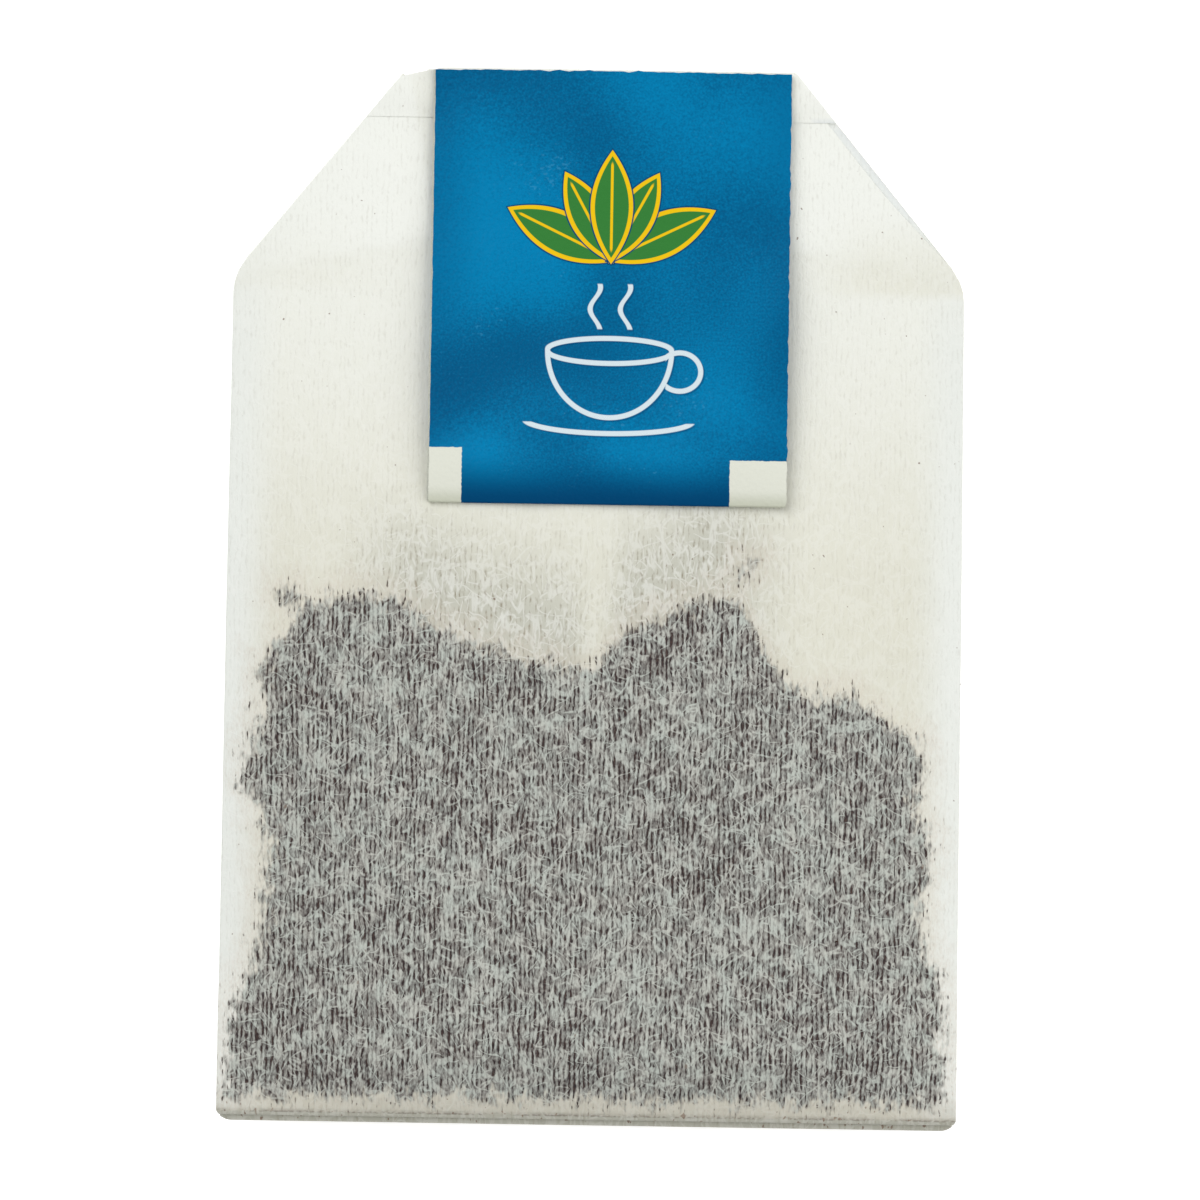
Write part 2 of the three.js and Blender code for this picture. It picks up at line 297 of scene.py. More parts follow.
@dataclass(frozen=True)
class TagSize:
    """The folded tag, in millimetres."""

    width: float
    length: float
    right: float
    top: float
    under_head: float
    under_tail: float
    ply: float = 0.1
    gap: float = 0.12
    sag: float = 0.6
    curl: float = 0.42
    curl_over: float = 2.6
    wave: float = 0.16
    wave_size: Pair = (6.5, 7.5)
    dimple: float = 0.05
    dimple_size: Pair = (2.6, 3.1)
    ear: float = 0.45
    ear_y: float = 49.5
    ear_over: float = 6.0
    tooth: float = 0.11
    right_tooth: Pair = (1.0, 0.55)
    left_tooth: Pair = (1.0, 0.8)
    left_tooth_share: float = 0.4
    end_tooth: Pair = (1.0, 0.6)
    seeds: tuple[float, float, float, float, float] = (31.0, 37.0, 41.0, 43.0, 47.0)
    back_left: float = 0.12
    staple_lift: float = 0.42
    staple_lift_over: float = 0.75
    columns: int = 72
    rows: int = 88
    fold_columns: int = 11


@dataclass(frozen=True)
class StapleSize:
    """The wire staple, in millimetres."""

    half_span: float = 3.5
    wire: float = 0.4
    y: float = 61.3
    clinch: float = 2.4
    bend: float = 0.3
    clear: float = 0.04
    dip: float = 0.12
    bend_points: int = 6
    segments: int = 4


class Side(Enum):
    """The two chambers, by the way their outer paper faces."""

    FRONT = 1
    REAR = -1


# ---------------------------------------------------------------- shader helpers


class Wire:
    """A shader socket that adds Math nodes when it is used in an expression."""

    def __init__(self, board: "Board", socket: bpy.types.NodeSocket) -> None:
        """Keep the board and the output socket."""
        self.board = board
        self.socket = socket

    def math(self, operation: str, *others: "Wire | float") -> "Wire":
        """Feed this wire and others through one Math node."""
        node = self.board.add("ShaderNodeMath", {"operation": operation}, dict(enumerate((self, *others))))
        return Wire(self.board, node.outputs[0])

    def __add__(self, other: "Wire | float") -> "Wire":
        """Add."""
        return self.math("ADD", other)

    __radd__ = __add__

    def __sub__(self, other: "Wire | float") -> "Wire":
        """Subtract."""
        return self.math("SUBTRACT", other)

    def __rsub__(self, other: "Wire | float") -> "Wire":
        """Subtract this wire from a number."""
        return (self * -1.0) + other

    def __mul__(self, other: "Wire | float") -> "Wire":
        """Multiply."""
        return self.math("MULTIPLY", other)

    __rmul__ = __mul__

    def __truediv__(self, other: "Wire | float") -> "Wire":
        """Divide."""
        return self.math("DIVIDE", other)

    def size(self) -> "Wire":
        """Absolute value."""
        return self.math("ABSOLUTE")

    def cosine(self) -> "Wire":
        """Cosine, in radians."""
        return self.math("COSINE")

    def root(self) -> "Wire":
        """Square root."""
        return self.math("SQRT")

    def most(self, other: "Wire | float") -> "Wire":
        """The greater of two."""
        return self.math("MAXIMUM", other)

    def ease(self, start: float, end: float) -> "Wire":
        """Ease from 0 at start to 1 at end, or the other way when start is above end.

        Args:
            start: Value where the result is 0.
            end: Value where it is 1.

        Returns:
            The eased value.
        """
        low, high = min(start, end), max(start, end)
        ends = (0.0, 1.0) if start < end else (1.0, 0.0)
        node = self.board.add(
            "ShaderNodeMapRange",
            {"interpolation_type": "SMOOTHSTEP"},
            {0: self, 1: low, 2: high, 3: ends[0], 4: ends[1]},
        )
        return Wire(self.board, node.outputs[0])


class Board:
    """The node tree of one material."""

    def __init__(self, name: str) -> None:
        """Start a material with an empty tree.

        Args:
            name: Name of the material.
        """
        self.material = bpy.data.materials.new(name)
        self.material.use_nodes = True
        self.tree = self.material.node_tree
        self.tree.nodes.clear()

    def add(self, kind: str, settings: dict, inputs: dict) -> bpy.types.Node:
        """Add any node.

        Args:
            kind: The node's type.
            settings: Properties, set before the sockets; "stops" fills a colour ramp.
            inputs: Values or wires by socket name or number.

        Returns:
            The node.
        """
        node = self.tree.nodes.new(kind)
        for name, value in settings.items():
            if name == "stops":
                self._fill_ramp(node.color_ramp, value)
            else:
                setattr(node, name, value)
        for key, value in inputs.items():
            socket = node.inputs[key]
            if isinstance(value, Wire):
                self.tree.links.new(value.socket, socket)
            elif isinstance(value, tuple) and socket.type == "RGBA":
                socket.default_value = (*value, 1.0)
            else:
                socket.default_value = value
        return node

    @staticmethod
    def _fill_ramp(ramp: bpy.types.ColorRamp, stops: list[tuple[float, Colour]]) -> None:
        """Give a colour ramp its stops.

        Args:
            ramp: The ramp.
            stops: Place and colour of each stop, in order.
        """
        while len(ramp.elements) < len(stops):
            ramp.elements.new(1.0)
        for element, (place, colour) in zip(ramp.elements, stops):
            element.position = place
            element.color = (*colour, 1.0)

    def out(self, node: bpy.types.Node, output: str | int = 0) -> Wire:
        """Wire one output of a node."""
        return Wire(self, node.outputs[output])

    def attribute(self, name: str, output: str = "Fac") -> Wire:
        """Read a point attribute of the mesh."""
        return self.out(self.add("ShaderNodeAttribute", {"attribute_name": name}, {}), output)

    def place(self) -> Wire:
        """Read the place on the object, in millimetres."""
        coords = self.out(self.add("ShaderNodeTexCoord", {}, {}), "Object")
        return self.stretch(coords, (1 / MM, 1 / MM, 1 / MM))

    def stretch(self, vector: Wire, scale: Triple) -> Wire:
        """Scale a vector by its own factor on each axis."""
        node = self.add("ShaderNodeVectorMath", {"operation": "MULTIPLY"}, {0: vector, 1: scale})
        return self.out(node)

    def shift(self, vector: Wire, by: Triple) -> Wire:
        """Move a vector."""
        return self.out(self.add("ShaderNodeVectorMath", {"operation": "ADD"}, {0: vector, 1: by}))

    def turn(self, vector: Wire, angle: float) -> Wire:
        """Turn a vector about Z."""
        return self.out(self.add("ShaderNodeVectorRotate", {"rotation_type": "Z_AXIS"},
                                 {"Vector": vector, "Angle": angle}))

    def split(self, vector: Wire) -> tuple[Wire, Wire, Wire]:
        """Split a vector into its parts."""
        node = self.add("ShaderNodeSeparateXYZ", {}, {0: vector})
        return self.out(node, 0), self.out(node, 1), self.out(node, 2)

    def grain(self, vector: Wire, scale: Pair, detail: float = 2.0, seed: float = 0.0,
              rough: float = 0.5) -> Wire:
        """Smooth noise from about -1 to 1.

        Args:
            vector: Place in millimetres.
            scale: Size of the features across and along, in millimetres.
            detail: How many finer layers it has.
            seed: Shift that tells one pattern from another.
            rough: Strength of the finer layers.

        Returns:
            The noise, centred on 0.
        """
        stretched = self.stretch(vector, (1 / scale[0], 1 / scale[1], 1.0))
        at = self.shift(stretched, tuple(seed * step for step in SEED_STEP))
        inputs = {"Vector": at, "Scale": 1.0, "Detail": detail, "Roughness": rough}
        return (self.out(self.add("ShaderNodeTexNoise", {}, inputs)) - 0.5) * 2.0

    def blend(self, share: Wire | float, low: Wire | Colour, high: Wire | Colour, mode: str = "MIX") -> Wire:
        """Mix two colours.

        Args:
            share: Share of the second colour.
            low: The first colour.
            high: The second colour.
            mode: How they mix.

        Returns:
            The mixed colour.
        """
        node = self.add("ShaderNodeMix", {"data_type": "RGBA", "blend_type": mode, "clamp_factor": True},
                        {0: share, 6: low, 7: high})
        return self.out(node, 2)

    def finish(self, colour: Wire | Colour, roughness: Wire | float, height: Wire | None, bump_mm: float,
               **constants: float) -> bpy.types.Material:
        """End the tree in a Principled shader.

        Args:
            colour: Base colour.
            roughness: Roughness.
            height: Relief from about -1 to 1, or None.
            bump_mm: Depth of the relief in millimetres.
            constants: Other sockets of the shader, with underscores for spaces.

        Returns:
            The finished material.
        """
        inputs = {"Base Color": colour, "Roughness": roughness}
        inputs.update({name.replace("_", " "): value for name, value in constants.items()})
        if height is not None:
            relief = {"Strength": 1.0, "Distance": bump_mm * MM, "Height": height}
            inputs["Normal"] = self.out(self.add("ShaderNodeBump", {}, relief))
        shader = self.add("ShaderNodeBsdfPrincipled", {}, inputs)
        self.add("ShaderNodeOutputMaterial", {}, {"Surface": self.out(shader)})
        return self.material


# ---------------------------------------------------------------- mesh helpers


def make_object(name: str, vertices: Points, faces: list, attributes: dict[str, Points]) -> bpy.types.Object:
    """Make a smooth mesh object from points in millimetres.

    Args:
        name: Name of the piece.
        vertices: Points, one row each.
        faces: Corner numbers of each face.
        attributes: Numbers, or triples, for each point by name.

    Returns:
        The object, at the origin.
    """
    mesh = bpy.data.meshes.new(name)
    mesh.from_pydata((vertices * MM).tolist(), [], faces)
    for key, values in attributes.items():
        kind, item = ("FLOAT_VECTOR", "vector") if values.ndim == 2 else ("FLOAT", "value")
        data = mesh.attributes.new(key, kind, "POINT").data
        data.foreach_set(item, values.astype(np.float32).ravel())
    mesh.validate()
    mesh.shade_smooth()
    mesh.set_sharp_from_angle(angle=SHARP_ANGLE)
    piece = bpy.data.objects.new(name, mesh)
    bpy.context.scene.collection.objects.link(piece)
    return piece


def ring_faces(rows: int, count: int, first: int, flip: bool) -> list[tuple[int, int, int, int]]:
    """Quads of a tube of closed rings.

    Args:
        rows: How many rings.
        count: Points in each ring.
        first: Number of the first point.
        flip: Whether the faces turn over.

    Returns:
        The quads.
    """
    faces = []
    for row in range(rows - 1):
        for i in range(count):
            j = (i + 1) % count
            a, b = first + row * count, first + (row + 1) * count
            quad = (a + i, b + i, b + j, a + j)
            faces.append(quad[::-1] if flip else quad)
    return faces


def slab_from_grid(grid: Points, normals: Points, thickness: float) -> tuple[Points, list, int]:
    """Thicken a grid of points into a closed slab.

    Args:
        grid: Rows and columns of points on the upper face.
        normals: The outward direction of the upper face at each point.
        thickness: Thickness under the upper face.

    Returns:
        The points, the faces, and how many faces come before the rim's.
    """
    rows, columns = grid.shape[:2]
    upper = grid.reshape(-1, 3)
    lower = (grid - normals * thickness).reshape(-1, 3)
    size = rows * columns
    faces = []
    for r in range(rows - 1):
        for c in range(columns - 1):
            a = r * columns + c
            b = a + columns
            faces.append((a, a + 1, b + 1, b))
            faces.append((a + size, b + size, b + 1 + size, a + 1 + size))
    rim_from = len(faces)
    border = list(range(columns))
    border += [r * columns + columns - 1 for r in range(1, rows)]
    border += [(rows - 1) * columns + c for c in range(columns - 2, -1, -1)]
    border += [r * columns for r in range(rows - 2, 0, -1)]
    for here, after in zip(border, border[1:] + border[:1]):
        faces.append((after, here, here + size, after + size))
    return np.concatenate([upper, lower]), faces, rim_from


def outward(piece: bpy.types.Object) -> None:
    """Turn a closed mesh's faces outwards if they point in.

    Args:
        piece: The closed piece.
    """
    bm = bmesh.new()
    bm.from_mesh(piece.data)
    if bm.calc_volume(signed=True) < 0:
        bmesh.ops.reverse_faces(bm, faces=bm.faces)
    bm.to_mesh(piece.data)
    bm.free()


def settle(piece: bpy.types.Object, slot: str, *nodes: str) -> None:
    """Tie a finished piece to its body and hide the nodes it stands for.

    Args:
        piece: The finished piece.
        slot: Name of its material slot; not used.
        nodes: The CAD nodes that it replaces.
    """
    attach(piece, BODY)
    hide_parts(*nodes)
    LOG.info("%s: %d faces", piece.name, len(piece.data.polygons))


# ---------------------------------------------------------------- finishes


@dataclass(frozen=True)
class PaperFinish:
    """Filter paper with tea pressed against it from inside; sizes are in millimetres."""

    light_share: float = 0.895
    bright: Colour = linear(247, 249, 242)
    cream: Colour = linear(228, 227, 212)
    margin: Colour = linear(238, 241, 235)
    dusty: Colour = linear(201, 201, 188)
    # Cool grey of the single rear ply past the front ply's edge, with the edge's shade painted in.
    sheer_and_shade: Colour = linear(231, 235, 233)
    foot: Colour = linear(182, 181, 168)
    streak: Colour = linear(140, 129, 108)
    # Creamier, darker band above the corner flaps' lower edge: painted shade of that edge.
    flap_edge_shade: Colour = linear(231, 230, 214)
    crease: Colour = linear(84, 72, 62)
    glint: Colour = linear(250, 251, 246)
    stain: Colour = linear(212, 200, 184)
    rust: Colour = linear(112, 82, 62)
    pit: Colour = linear(47, 40, 42)
    brown: Colour = linear(76, 58, 52)
    shade: Colour = linear(88, 81, 80)
    grey: Colour = linear(138, 137, 132)
    veil: Colour = linear(167, 168, 162)
    fibre: Colour = linear(197, 201, 193)
    tone_places: tuple[float, ...] = (0.12, 0.3, 0.5, 0.66, 0.92)
    rib_pitch: float = 0.30
    wobble_size: Pair = (1.3, 3.0)
    strand_size: Pair = (0.17, 0.62)
    fine_size: Pair = (0.10, 0.24)
    cloud_size: Pair = (1.4, 1.9)
    drift_size: Pair = (5.0, 6.5)
    edge_size: Pair = (1.3, 1.5)
    edge_fine_size: Pair = (0.24, 0.7)
    warm_size: Pair = (1.1, 1.3)
    cool_tint: Colour = (0.98, 1.005, 1.0)
    warm_tint: Colour = (1.02, 0.995, 0.985)
    spot_size: Pair = (0.5, 0.6)
    wisp_size: Pair = (0.35, 1.6)
    wisp_lean: float = 0.5
    grit_size: Pair = (0.25, 0.14)
    grit_patch_size: Pair = (3.2, 9.0)
    dirt_size: Pair = (0.3, 0.36)
    dirt_patch_size: Pair = (3.0, 3.0)
    thread_patch_size: Pair = (0.7, 1.3)
    relief: float = 0.05
    threads: tuple[tuple[float, float, float, float], ...] = (
        (2.0, 0.6, 3.6, 0.085), (-14.0, 0.7, 3.0, 0.075), (22.0, 0.8, 3.0, 0.07),
        (-46.0, 0.9, 2.6, 0.06), (58.0, 1.0, 2.4, 0.055), (97.0, 1.1, 2.0, 0.05),
    )

    def build(self) -> bpy.types.Material:
        """Make the material.

        Returns:
            The filter paper.
        """
        b = Board("filter_paper")
        at = b.attribute("weave", "Vector")
        across, _, _ = b.split(at)
        wobble = b.grain(at, self.wobble_size, 1.0, 1.0)
        rib = ((across / self.rib_pitch + wobble * 0.9) * (2 * math.pi)).cosine()
        strand = b.grain(at, self.strand_size, 1.0, 2.0)
        fine = b.grain(at, self.fine_size, 1.0, 3.0)
        cloud = b.grain(at, self.cloud_size, 2.0, 4.0, 0.6)
        drift = b.grain(at, self.drift_size, 1.0, 10.0)
        thread = self._threads(b, at)
        ragged = b.grain(at, self.edge_size, 2.0, 5.0, 0.6) * 1.3
        inside = b.attribute("tea") + (ragged + b.grain(at, self.edge_fine_size, 1.0, 6.0))
        sparse = inside.ease(1.2, -0.6) * 0.25
        slot = (strand + rib * 0.36 + fine * 0.3 + cloud * 0.3 + drift * 0.22 + sparse).ease(-0.18, -0.46)
        slot = slot * (1.0 - thread * 0.8) * inside.ease(-0.9, -0.1)
        tone = cloud * 0.18 + drift * 0.12 + strand * 0.26 + rib * 0.1 + fine * 0.38 + thread * 0.32 + 0.475
        ramp = b.add("ShaderNodeValToRGB", {"stops": self._tones()}, {0: tone})
        warm = b.grain(at, self.warm_size, 2.0, 13.0).ease(-0.35, 0.35)
        tint = b.blend(warm, self.cool_tint, self.warm_tint)
        leaf = b.blend(1.0, b.out(ramp), tint, "MULTIPLY")
        spots = b.grain(at, self.spot_size, 1.0, 9.0).ease(0.5, 0.62)
        leaf = b.blend(spots * 0.5, leaf, self._lit(self.rust))
        paper = self._plain(b, at, strand, rib, fine, cloud, thread)
        paper = b.blend(inside.ease(-2.0, 0.1) * (0.3 - fine * 0.4), paper, self._lit(self.stain))
        cover = inside.ease(-0.35, 0.75)
        dark = b.blend(fine.ease(-0.5, 0.5), self._lit(self.pit), self._lit(self.brown))
        colour = b.blend(slot * 0.95, b.blend(cover, paper, leaf), dark)
        height = (tone - slot * 0.34) * (cover * 0.7 + 0.3)
        return b.finish(colour, 0.85, height, self.relief, Specular_IOR_Level=0.25)

    def _lit(self, colour: Colour) -> Colour:
        """A colour as the paint that gives it under the studio light."""
        return dimmed(colour, self.light_share)

    def _tones(self) -> list[tuple[float, Colour]]:
        """Stops from the darkest gap to the lightest fibre."""
        tones = (self.pit, self.shade, self.grey, self.veil, self.fibre)
        return [(place, self._lit(tone)) for place, tone in zip(self.tone_places, tones)]

    def _threads(self, b: Board, at: Wire) -> Wire:
        """Thin pale fibres, most of them nearly along the paper.

        Args:
            b: The material's board.
            at: Place on the unrolled paper.

        Returns:
            1 on a fibre, 0 beside it.
        """
        laid: Wire | None = None
        for seed, (lean, wide, long, half) in enumerate(self.threads):
            turned = b.turn(at, math.radians(lean))
            line = b.grain(turned, (wide, long), 1.0, 20.0 + seed).size().ease(half, half * 0.3)
            patch = b.grain(turned, self.thread_patch_size, 0.0, 30.0 + seed).ease(-0.08, 0.14)
            laid = line * patch if laid is None else laid.most(line * patch)
        return laid

    def _plain(self, b: Board, at: Wire, strand: Wire, rib: Wire, fine: Wire, cloud: Wire,
               thread: Wire) -> Wire:
        """The paper where no tea touches it.

        Args:
            b: The material's board.
            at: Place on the unrolled paper.
            strand: Streaks along the paper.
            rib: The paper's fine ribs.
            fine: The smallest grain.
            cloud: Broad patches.
            thread: Thin pale fibres.

        Returns:
            The colour.
        """
        colour = b.blend(b.attribute("lit"), self._lit(self.cream), self._lit(self.bright))
        colour = b.blend(b.attribute("margin"), colour, self._lit(self.margin))
        colour = b.blend(b.attribute("dust"), colour, self._lit(self.dusty))
        colour = b.blend(b.attribute("foot"), colour, self._lit(self.foot))
        # Painted shade, with the single ply's cool tone, on the rear ply beside the front ply's inset edge.
        colour = b.blend(b.attribute("sheer_and_shade"), colour, self._lit(self.sheer_and_shade))
        # Painted shade above the corner flaps' lower edge.
        colour = b.blend(b.attribute("flap_edge_shade") * 0.55, colour, self._lit(self.flap_edge_shade))
        dust = b.attribute("dust")
        marks = (strand * -0.8 + rib * -0.2 + fine * -0.5 + cloud * 0.25).ease(0.0, 0.75)
        streaked = marks * (dust * 0.68 + b.attribute("foot") * 0.2 + 0.15)
        colour = b.blend(streaked, colour, self._lit(self.streak))
        wisp = b.grain(b.turn(at, self.wisp_lean), self.wisp_size, 1.0, 15.0) + cloud * 0.6
        glints = thread * (dust * 0.2 + 0.16) + wisp.ease(0.15, 0.6) * dust * 0.16
        colour = b.blend(glints, colour, self._lit(self.glint))
        grit = b.grain(at, self.grit_size, 1.0, 16.0) + b.grain(at, self.grit_patch_size, 1.0, 17.0) * 1.1
        colour = b.blend(b.attribute("crease") * grit.ease(-0.3, 0.35), colour, self._lit(self.crease))
        dirt = b.grain(at, self.dirt_size, 1.0, 14.0) + b.grain(at, self.dirt_patch_size, 0.0, 18.0) * 0.2
        specks = (dirt + b.attribute("foot") * 0.2).ease(0.55, 0.66) * 0.75
        return b.blend(specks, colour, self._lit(self.rust))


@dataclass(frozen=True)
class TeaFinish:
    """Broken black tea leaf."""

    dark: Colour = linear(38, 26, 20)
    brown: Colour = linear(92, 60, 38)

    def build(self) -> bpy.types.Material:
        """Make the material.

        Returns:
            The tea leaf.
        """
        b = Board("tea_leaf")
        at = b.place()
        share = b.grain(at, (0.7, 0.7), 3.0, 1.0).ease(-0.3, 0.5)
        ridges = b.grain(at, (0.12, 0.3), 2.0, 2.0)
        return b.finish(b.blend(share, self.dark, self.brown), 0.8, ridges, 0.03, Specular_IOR_Level=0.3)


@dataclass(frozen=True)
class StapleFinish:
    """Drawn aluminium wire."""

    wire: Colour = (0.78, 0.79, 0.80)

    def build(self) -> bpy.types.Material:
        """Make the material.

        Returns:
            The drawn wire.
        """
        b = Board("staple_wire")
        lines = b.grain(b.place(), (0.8, 0.03), 2.0, 1.0)
        return b.finish(self.wire, lines * 0.08 + 0.34, lines, 0.004, Metallic=1.0)


@dataclass(frozen=True)
class TagFinish:
    """Coated paper printed blue, with plain corners and a drawing of leaves and a cup.

    Lengths are in millimetres, across from the tag's middle line and up from its lower fold.
    """

    size: TagSize
    half_length: float
    light_share: float = 0.87
    blue: Colour = linear(0, 133, 187)
    deep: Colour = linear(0, 92, 139)
    night: Colour = linear(0, 70, 116)
    # Pale specks in the ink: scuffs, and painted sheen where the coated paper catches the light.
    scuffed_and_sheen: Colour = linear(70, 160, 205)
    white: Colour = linear(232, 234, 221)
    # Plain corners near the lower fold, darkened as painted shade of the curl.
    bent: Colour = linear(206, 209, 191)
    leaf: Colour = linear(58, 132, 60)
    gold: Colour = linear(250, 204, 22)
    line: Colour = linear(222, 236, 242)
    left_corner: Pair = (1.95, 3.3)
    right_corner: Pair = (3.4, 2.75)
    mottle_size: Pair = (0.13, 0.13)
    swirl_size: Pair = (6.0, 7.0)
    scuff_and_sheen_size: Pair = (0.3, 0.22)
    scuff_and_sheen_patch_size: Pair = (5.0, 5.0)
    ragged_size: Pair = (0.2, 0.2)
    ragged_by: float = 0.04
    fibre_size: Pair = (0.25, 0.25)
    relief: float = 0.02
    band_y: float = 16.7
    band_length: float = 17.0
    band_within: Pair = (4.0, -5.0)
    side_fade: float = 3.5
    # Where painted shade darkens the ink and the plain corners towards the lower fold.
    fold_shade: Pair = (3.4, 0.1)
    fold_shade_within: Pair = (1.1, 0.0)
    sprig_foot: float = 14.7
    leaves: tuple[Pair, ...] = (
        (-1.12, 6.6), (1.12, 6.6), (-0.5, 5.6), (0.5, 5.6), (0.0, 6.2),
    )
    leaf_share: float = 0.17
    stroke: float = 0.15
    soft: float = 0.03
    shadow: float = 0.1
    rim: tuple[float, float, float, float] = (0.0, 9.2, 3.7, 0.75)
    bowl: tuple[float, float, float, float] = (0.0, 9.2, 3.7, 4.0)
    bowl_below: float = 9.1
    ear: tuple[float, float, float, float] = (4.2, 8.0, 1.25, 1.15)
    ear_beyond: float = 3.35
    saucer: tuple[float, float, float, float] = (0.0, 5.1, 5.0, 0.85)
    saucer_below: float = 4.9
    steam_x: Pair = (-0.9, 0.9)
    steam_from: float = 10.5
    steam_to: float = 13.2
    steam_pitch: float = 2.6
    steam_swing: float = 0.3

    def build(self) -> bpy.types.Material:
        """Make the material.

        Returns:
            The printed tag.
        """
        b = Board("tag_paper")
        at = b.place()
        x, y, _ = b.split(at)
        across = x - self.size.right
        up = y - (self.size.top - self.half_length - self.size.length)
        mottle = b.grain(at, self.mottle_size, 1.0, 1.0) * 1.1 + b.grain(at, self.swirl_size, 0.0, 2.0) * 1.3
        band = ((up - self.band_y) * (2 * math.pi / self.band_length)).cosine()
        band = band * across.ease(*self.band_within)
        ink = b.blend((mottle + band * 0.75).ease(-1.3, 1.3), self._lit(self.deep), self._lit(self.blue))
        half = self.size.width / 2
        ink = b.blend(across.size().ease(half - self.side_fade, half) * 0.3, ink, self._lit(self.night))
        # Painted shade: the ink darkens towards the lower fold, where the tag curls down.
        ink = b.blend(up.ease(*self.fold_shade), ink, self._lit(self.night))
        # Scuffs and painted sheen: pale specks scattered over the ink.
        scuff_and_sheen = b.grain(at, self.scuff_and_sheen_size, 2.0, 6.0) + b.grain(at, self.scuff_and_sheen_patch_size, 1.0, 7.0) * 0.7
        ink = b.blend(scuff_and_sheen.ease(0.45, 0.75) * 0.3, ink, self._lit(self.scuffed_and_sheen))
        colour = self._drawing(b, across, up, ink)
        ragged = b.grain(at, self.ragged_size, 1.0, 3.0) * self.ragged_by
        plain = self._corner(across + half, up, self.left_corner, ragged)
        plain = plain.most(self._corner(half - across, up, self.right_corner, ragged))
        # Painted shade: the plain corners darken towards the lower fold.
        bare = b.blend(up.ease(*self.fold_shade_within), self._lit(self.white), self._lit(self.bent))
        colour = b.blend(plain, colour, bare)
        fibre = b.grain(at, self.fibre_size, 3.0, 4.0)
        return b.finish(colour, fibre * 0.06 + 0.38, fibre, self.relief, Specular_IOR_Level=0.04)

    def core(self) -> bpy.types.Material:
        """Make the uncoated inner side and cut edge.

        Returns:
            The bare paper.
        """
        b = Board("tag_edge")
        fibre = b.grain(b.place(), (0.1, 0.1), 2.0, 1.0)
        colour = b.blend(fibre.ease(-1, 1), dimmed(self.white, 0.7), self._lit(self.white))
        return b.finish(colour, 0.9, fibre, 0.01)

    def _lit(self, colour: Colour) -> Colour:
        """A colour as the print that gives it under the studio light."""
        return dimmed(colour, self.light_share)

    @staticmethod
    def _corner(inwards: Wire, up: Wire, corner: Pair, ragged: Wire) -> Wire:
        """A rectangle left unprinted in a lower corner.

        Args:
            inwards: Distance in from the tag's side.
            up: Distance up from its lower fold.
            corner: Width and height of the rectangle.
            ragged: Wander of its edges.

        Returns:
            1 inside the rectangle, 0 outside.
        """
        wide = (inwards + ragged).ease(corner[0] + 0.02, corner[0] - 0.02)
        high = (up + ragged).ease(corner[1] + 0.02, corner[1] - 0.02)
        return wide * high

    def _drawing(self, b: Board, across: Wire, up: Wire, ink: Wire) -> Wire:
        """Draw five leaves over a steaming cup.

        Args:
            b: The material's board.
            across: Distance across from the tag's middle line.
            up: Distance up from its lower fold.
            ink: Colour of the ground.

        Returns:
            The colour with the drawing on it.
        """
        colour = ink
        for lean, reach in self.leaves:
            shape, vein = self._leaf(across, up - self.sprig_foot, lean, reach)
            colour = b.blend(shape.ease(-0.36, -0.26), colour, self._lit(self.night))
            colour = b.blend(shape.ease(-0.24, -0.2), colour, self._lit(self.gold))
            colour = b.blend(shape.ease(0.02, 0.06), colour, self._lit(self.leaf))
            colour = b.blend(vein * shape.ease(0.2, 0.35), colour, self._lit(self.gold))
        behind = (across - self.shadow, up + self.shadow)
        shade = self._cup(*behind).most(self._steam(*behind)) * 0.55
        colour = b.blend(shade, colour, self._lit(self.night))
        return b.blend(self._cup(across, up).most(self._steam(across, up)), colour, self._lit(self.line))

    def _leaf(self, across: Wire, up: Wire, lean: float, reach: float) -> tuple[Wire, Wire]:
        """One pointed leaf that grows from the origin.

        Args:
            across: Distance across from the leaf's foot.
            up: Distance up from it.
            lean: Angle from upright, in radians.
            reach: Length of the leaf.

        Returns:
            Depth inside the leaf, and its middle vein.
        """
        along = across * math.sin(lean) + up * math.cos(lean)
        aside = (across * math.cos(lean) - up * math.sin(lean)).size()
        middle = along * (2 / reach) - 1.0
        depth = (1.0 - middle * middle) * (reach * self.leaf_share) - aside
        return depth, aside.ease(0.1, 0.06)

    def _line(self, distance: Wire) -> Wire:
        """A drawn line where a distance is near 0."""
        return distance.size().ease(self.stroke + self.soft, self.stroke - self.soft)

    def _cup(self, across: Wire, up: Wire) -> Wire:
        """A cup on its saucer, in an even line.

        Args:
            across: Distance across from the tag's middle line.
            up: Distance up from its lower fold.

        Returns:
            1 on the line, 0 beside it.
        """

        def ellipse(at_x: float, at_y: float, wide: float, high: float) -> Wire:
            """Distance from an ellipse.

            Args:
                at_x: Place of its middle across.
                at_y: Place of its middle up.
                wide: Half its width.
                high: Half its height.

            Returns:
                The distance, negative inside.
            """
            u, v = (across - at_x) / wide, (up - at_y) / high
            reach = (u * u + v * v).root()
            slope = ((u / wide) * (u / wide) + (v / high) * (v / high)).root().most(0.02)
            return (reach - 1.0) * reach / slope

        rim = self._line(ellipse(*self.rim))
        bowl = self._line(ellipse(*self.bowl)) * (up - self.bowl_below).ease(0.04, -0.04)
        ear = self._line(ellipse(*self.ear)) * (across - self.ear_beyond).ease(-0.05, 0.05)
        saucer = self._line(ellipse(*self.saucer)) * (up - self.saucer_below).ease(0.04, -0.04)
        return rim.most(bowl).most(ear).most(saucer)

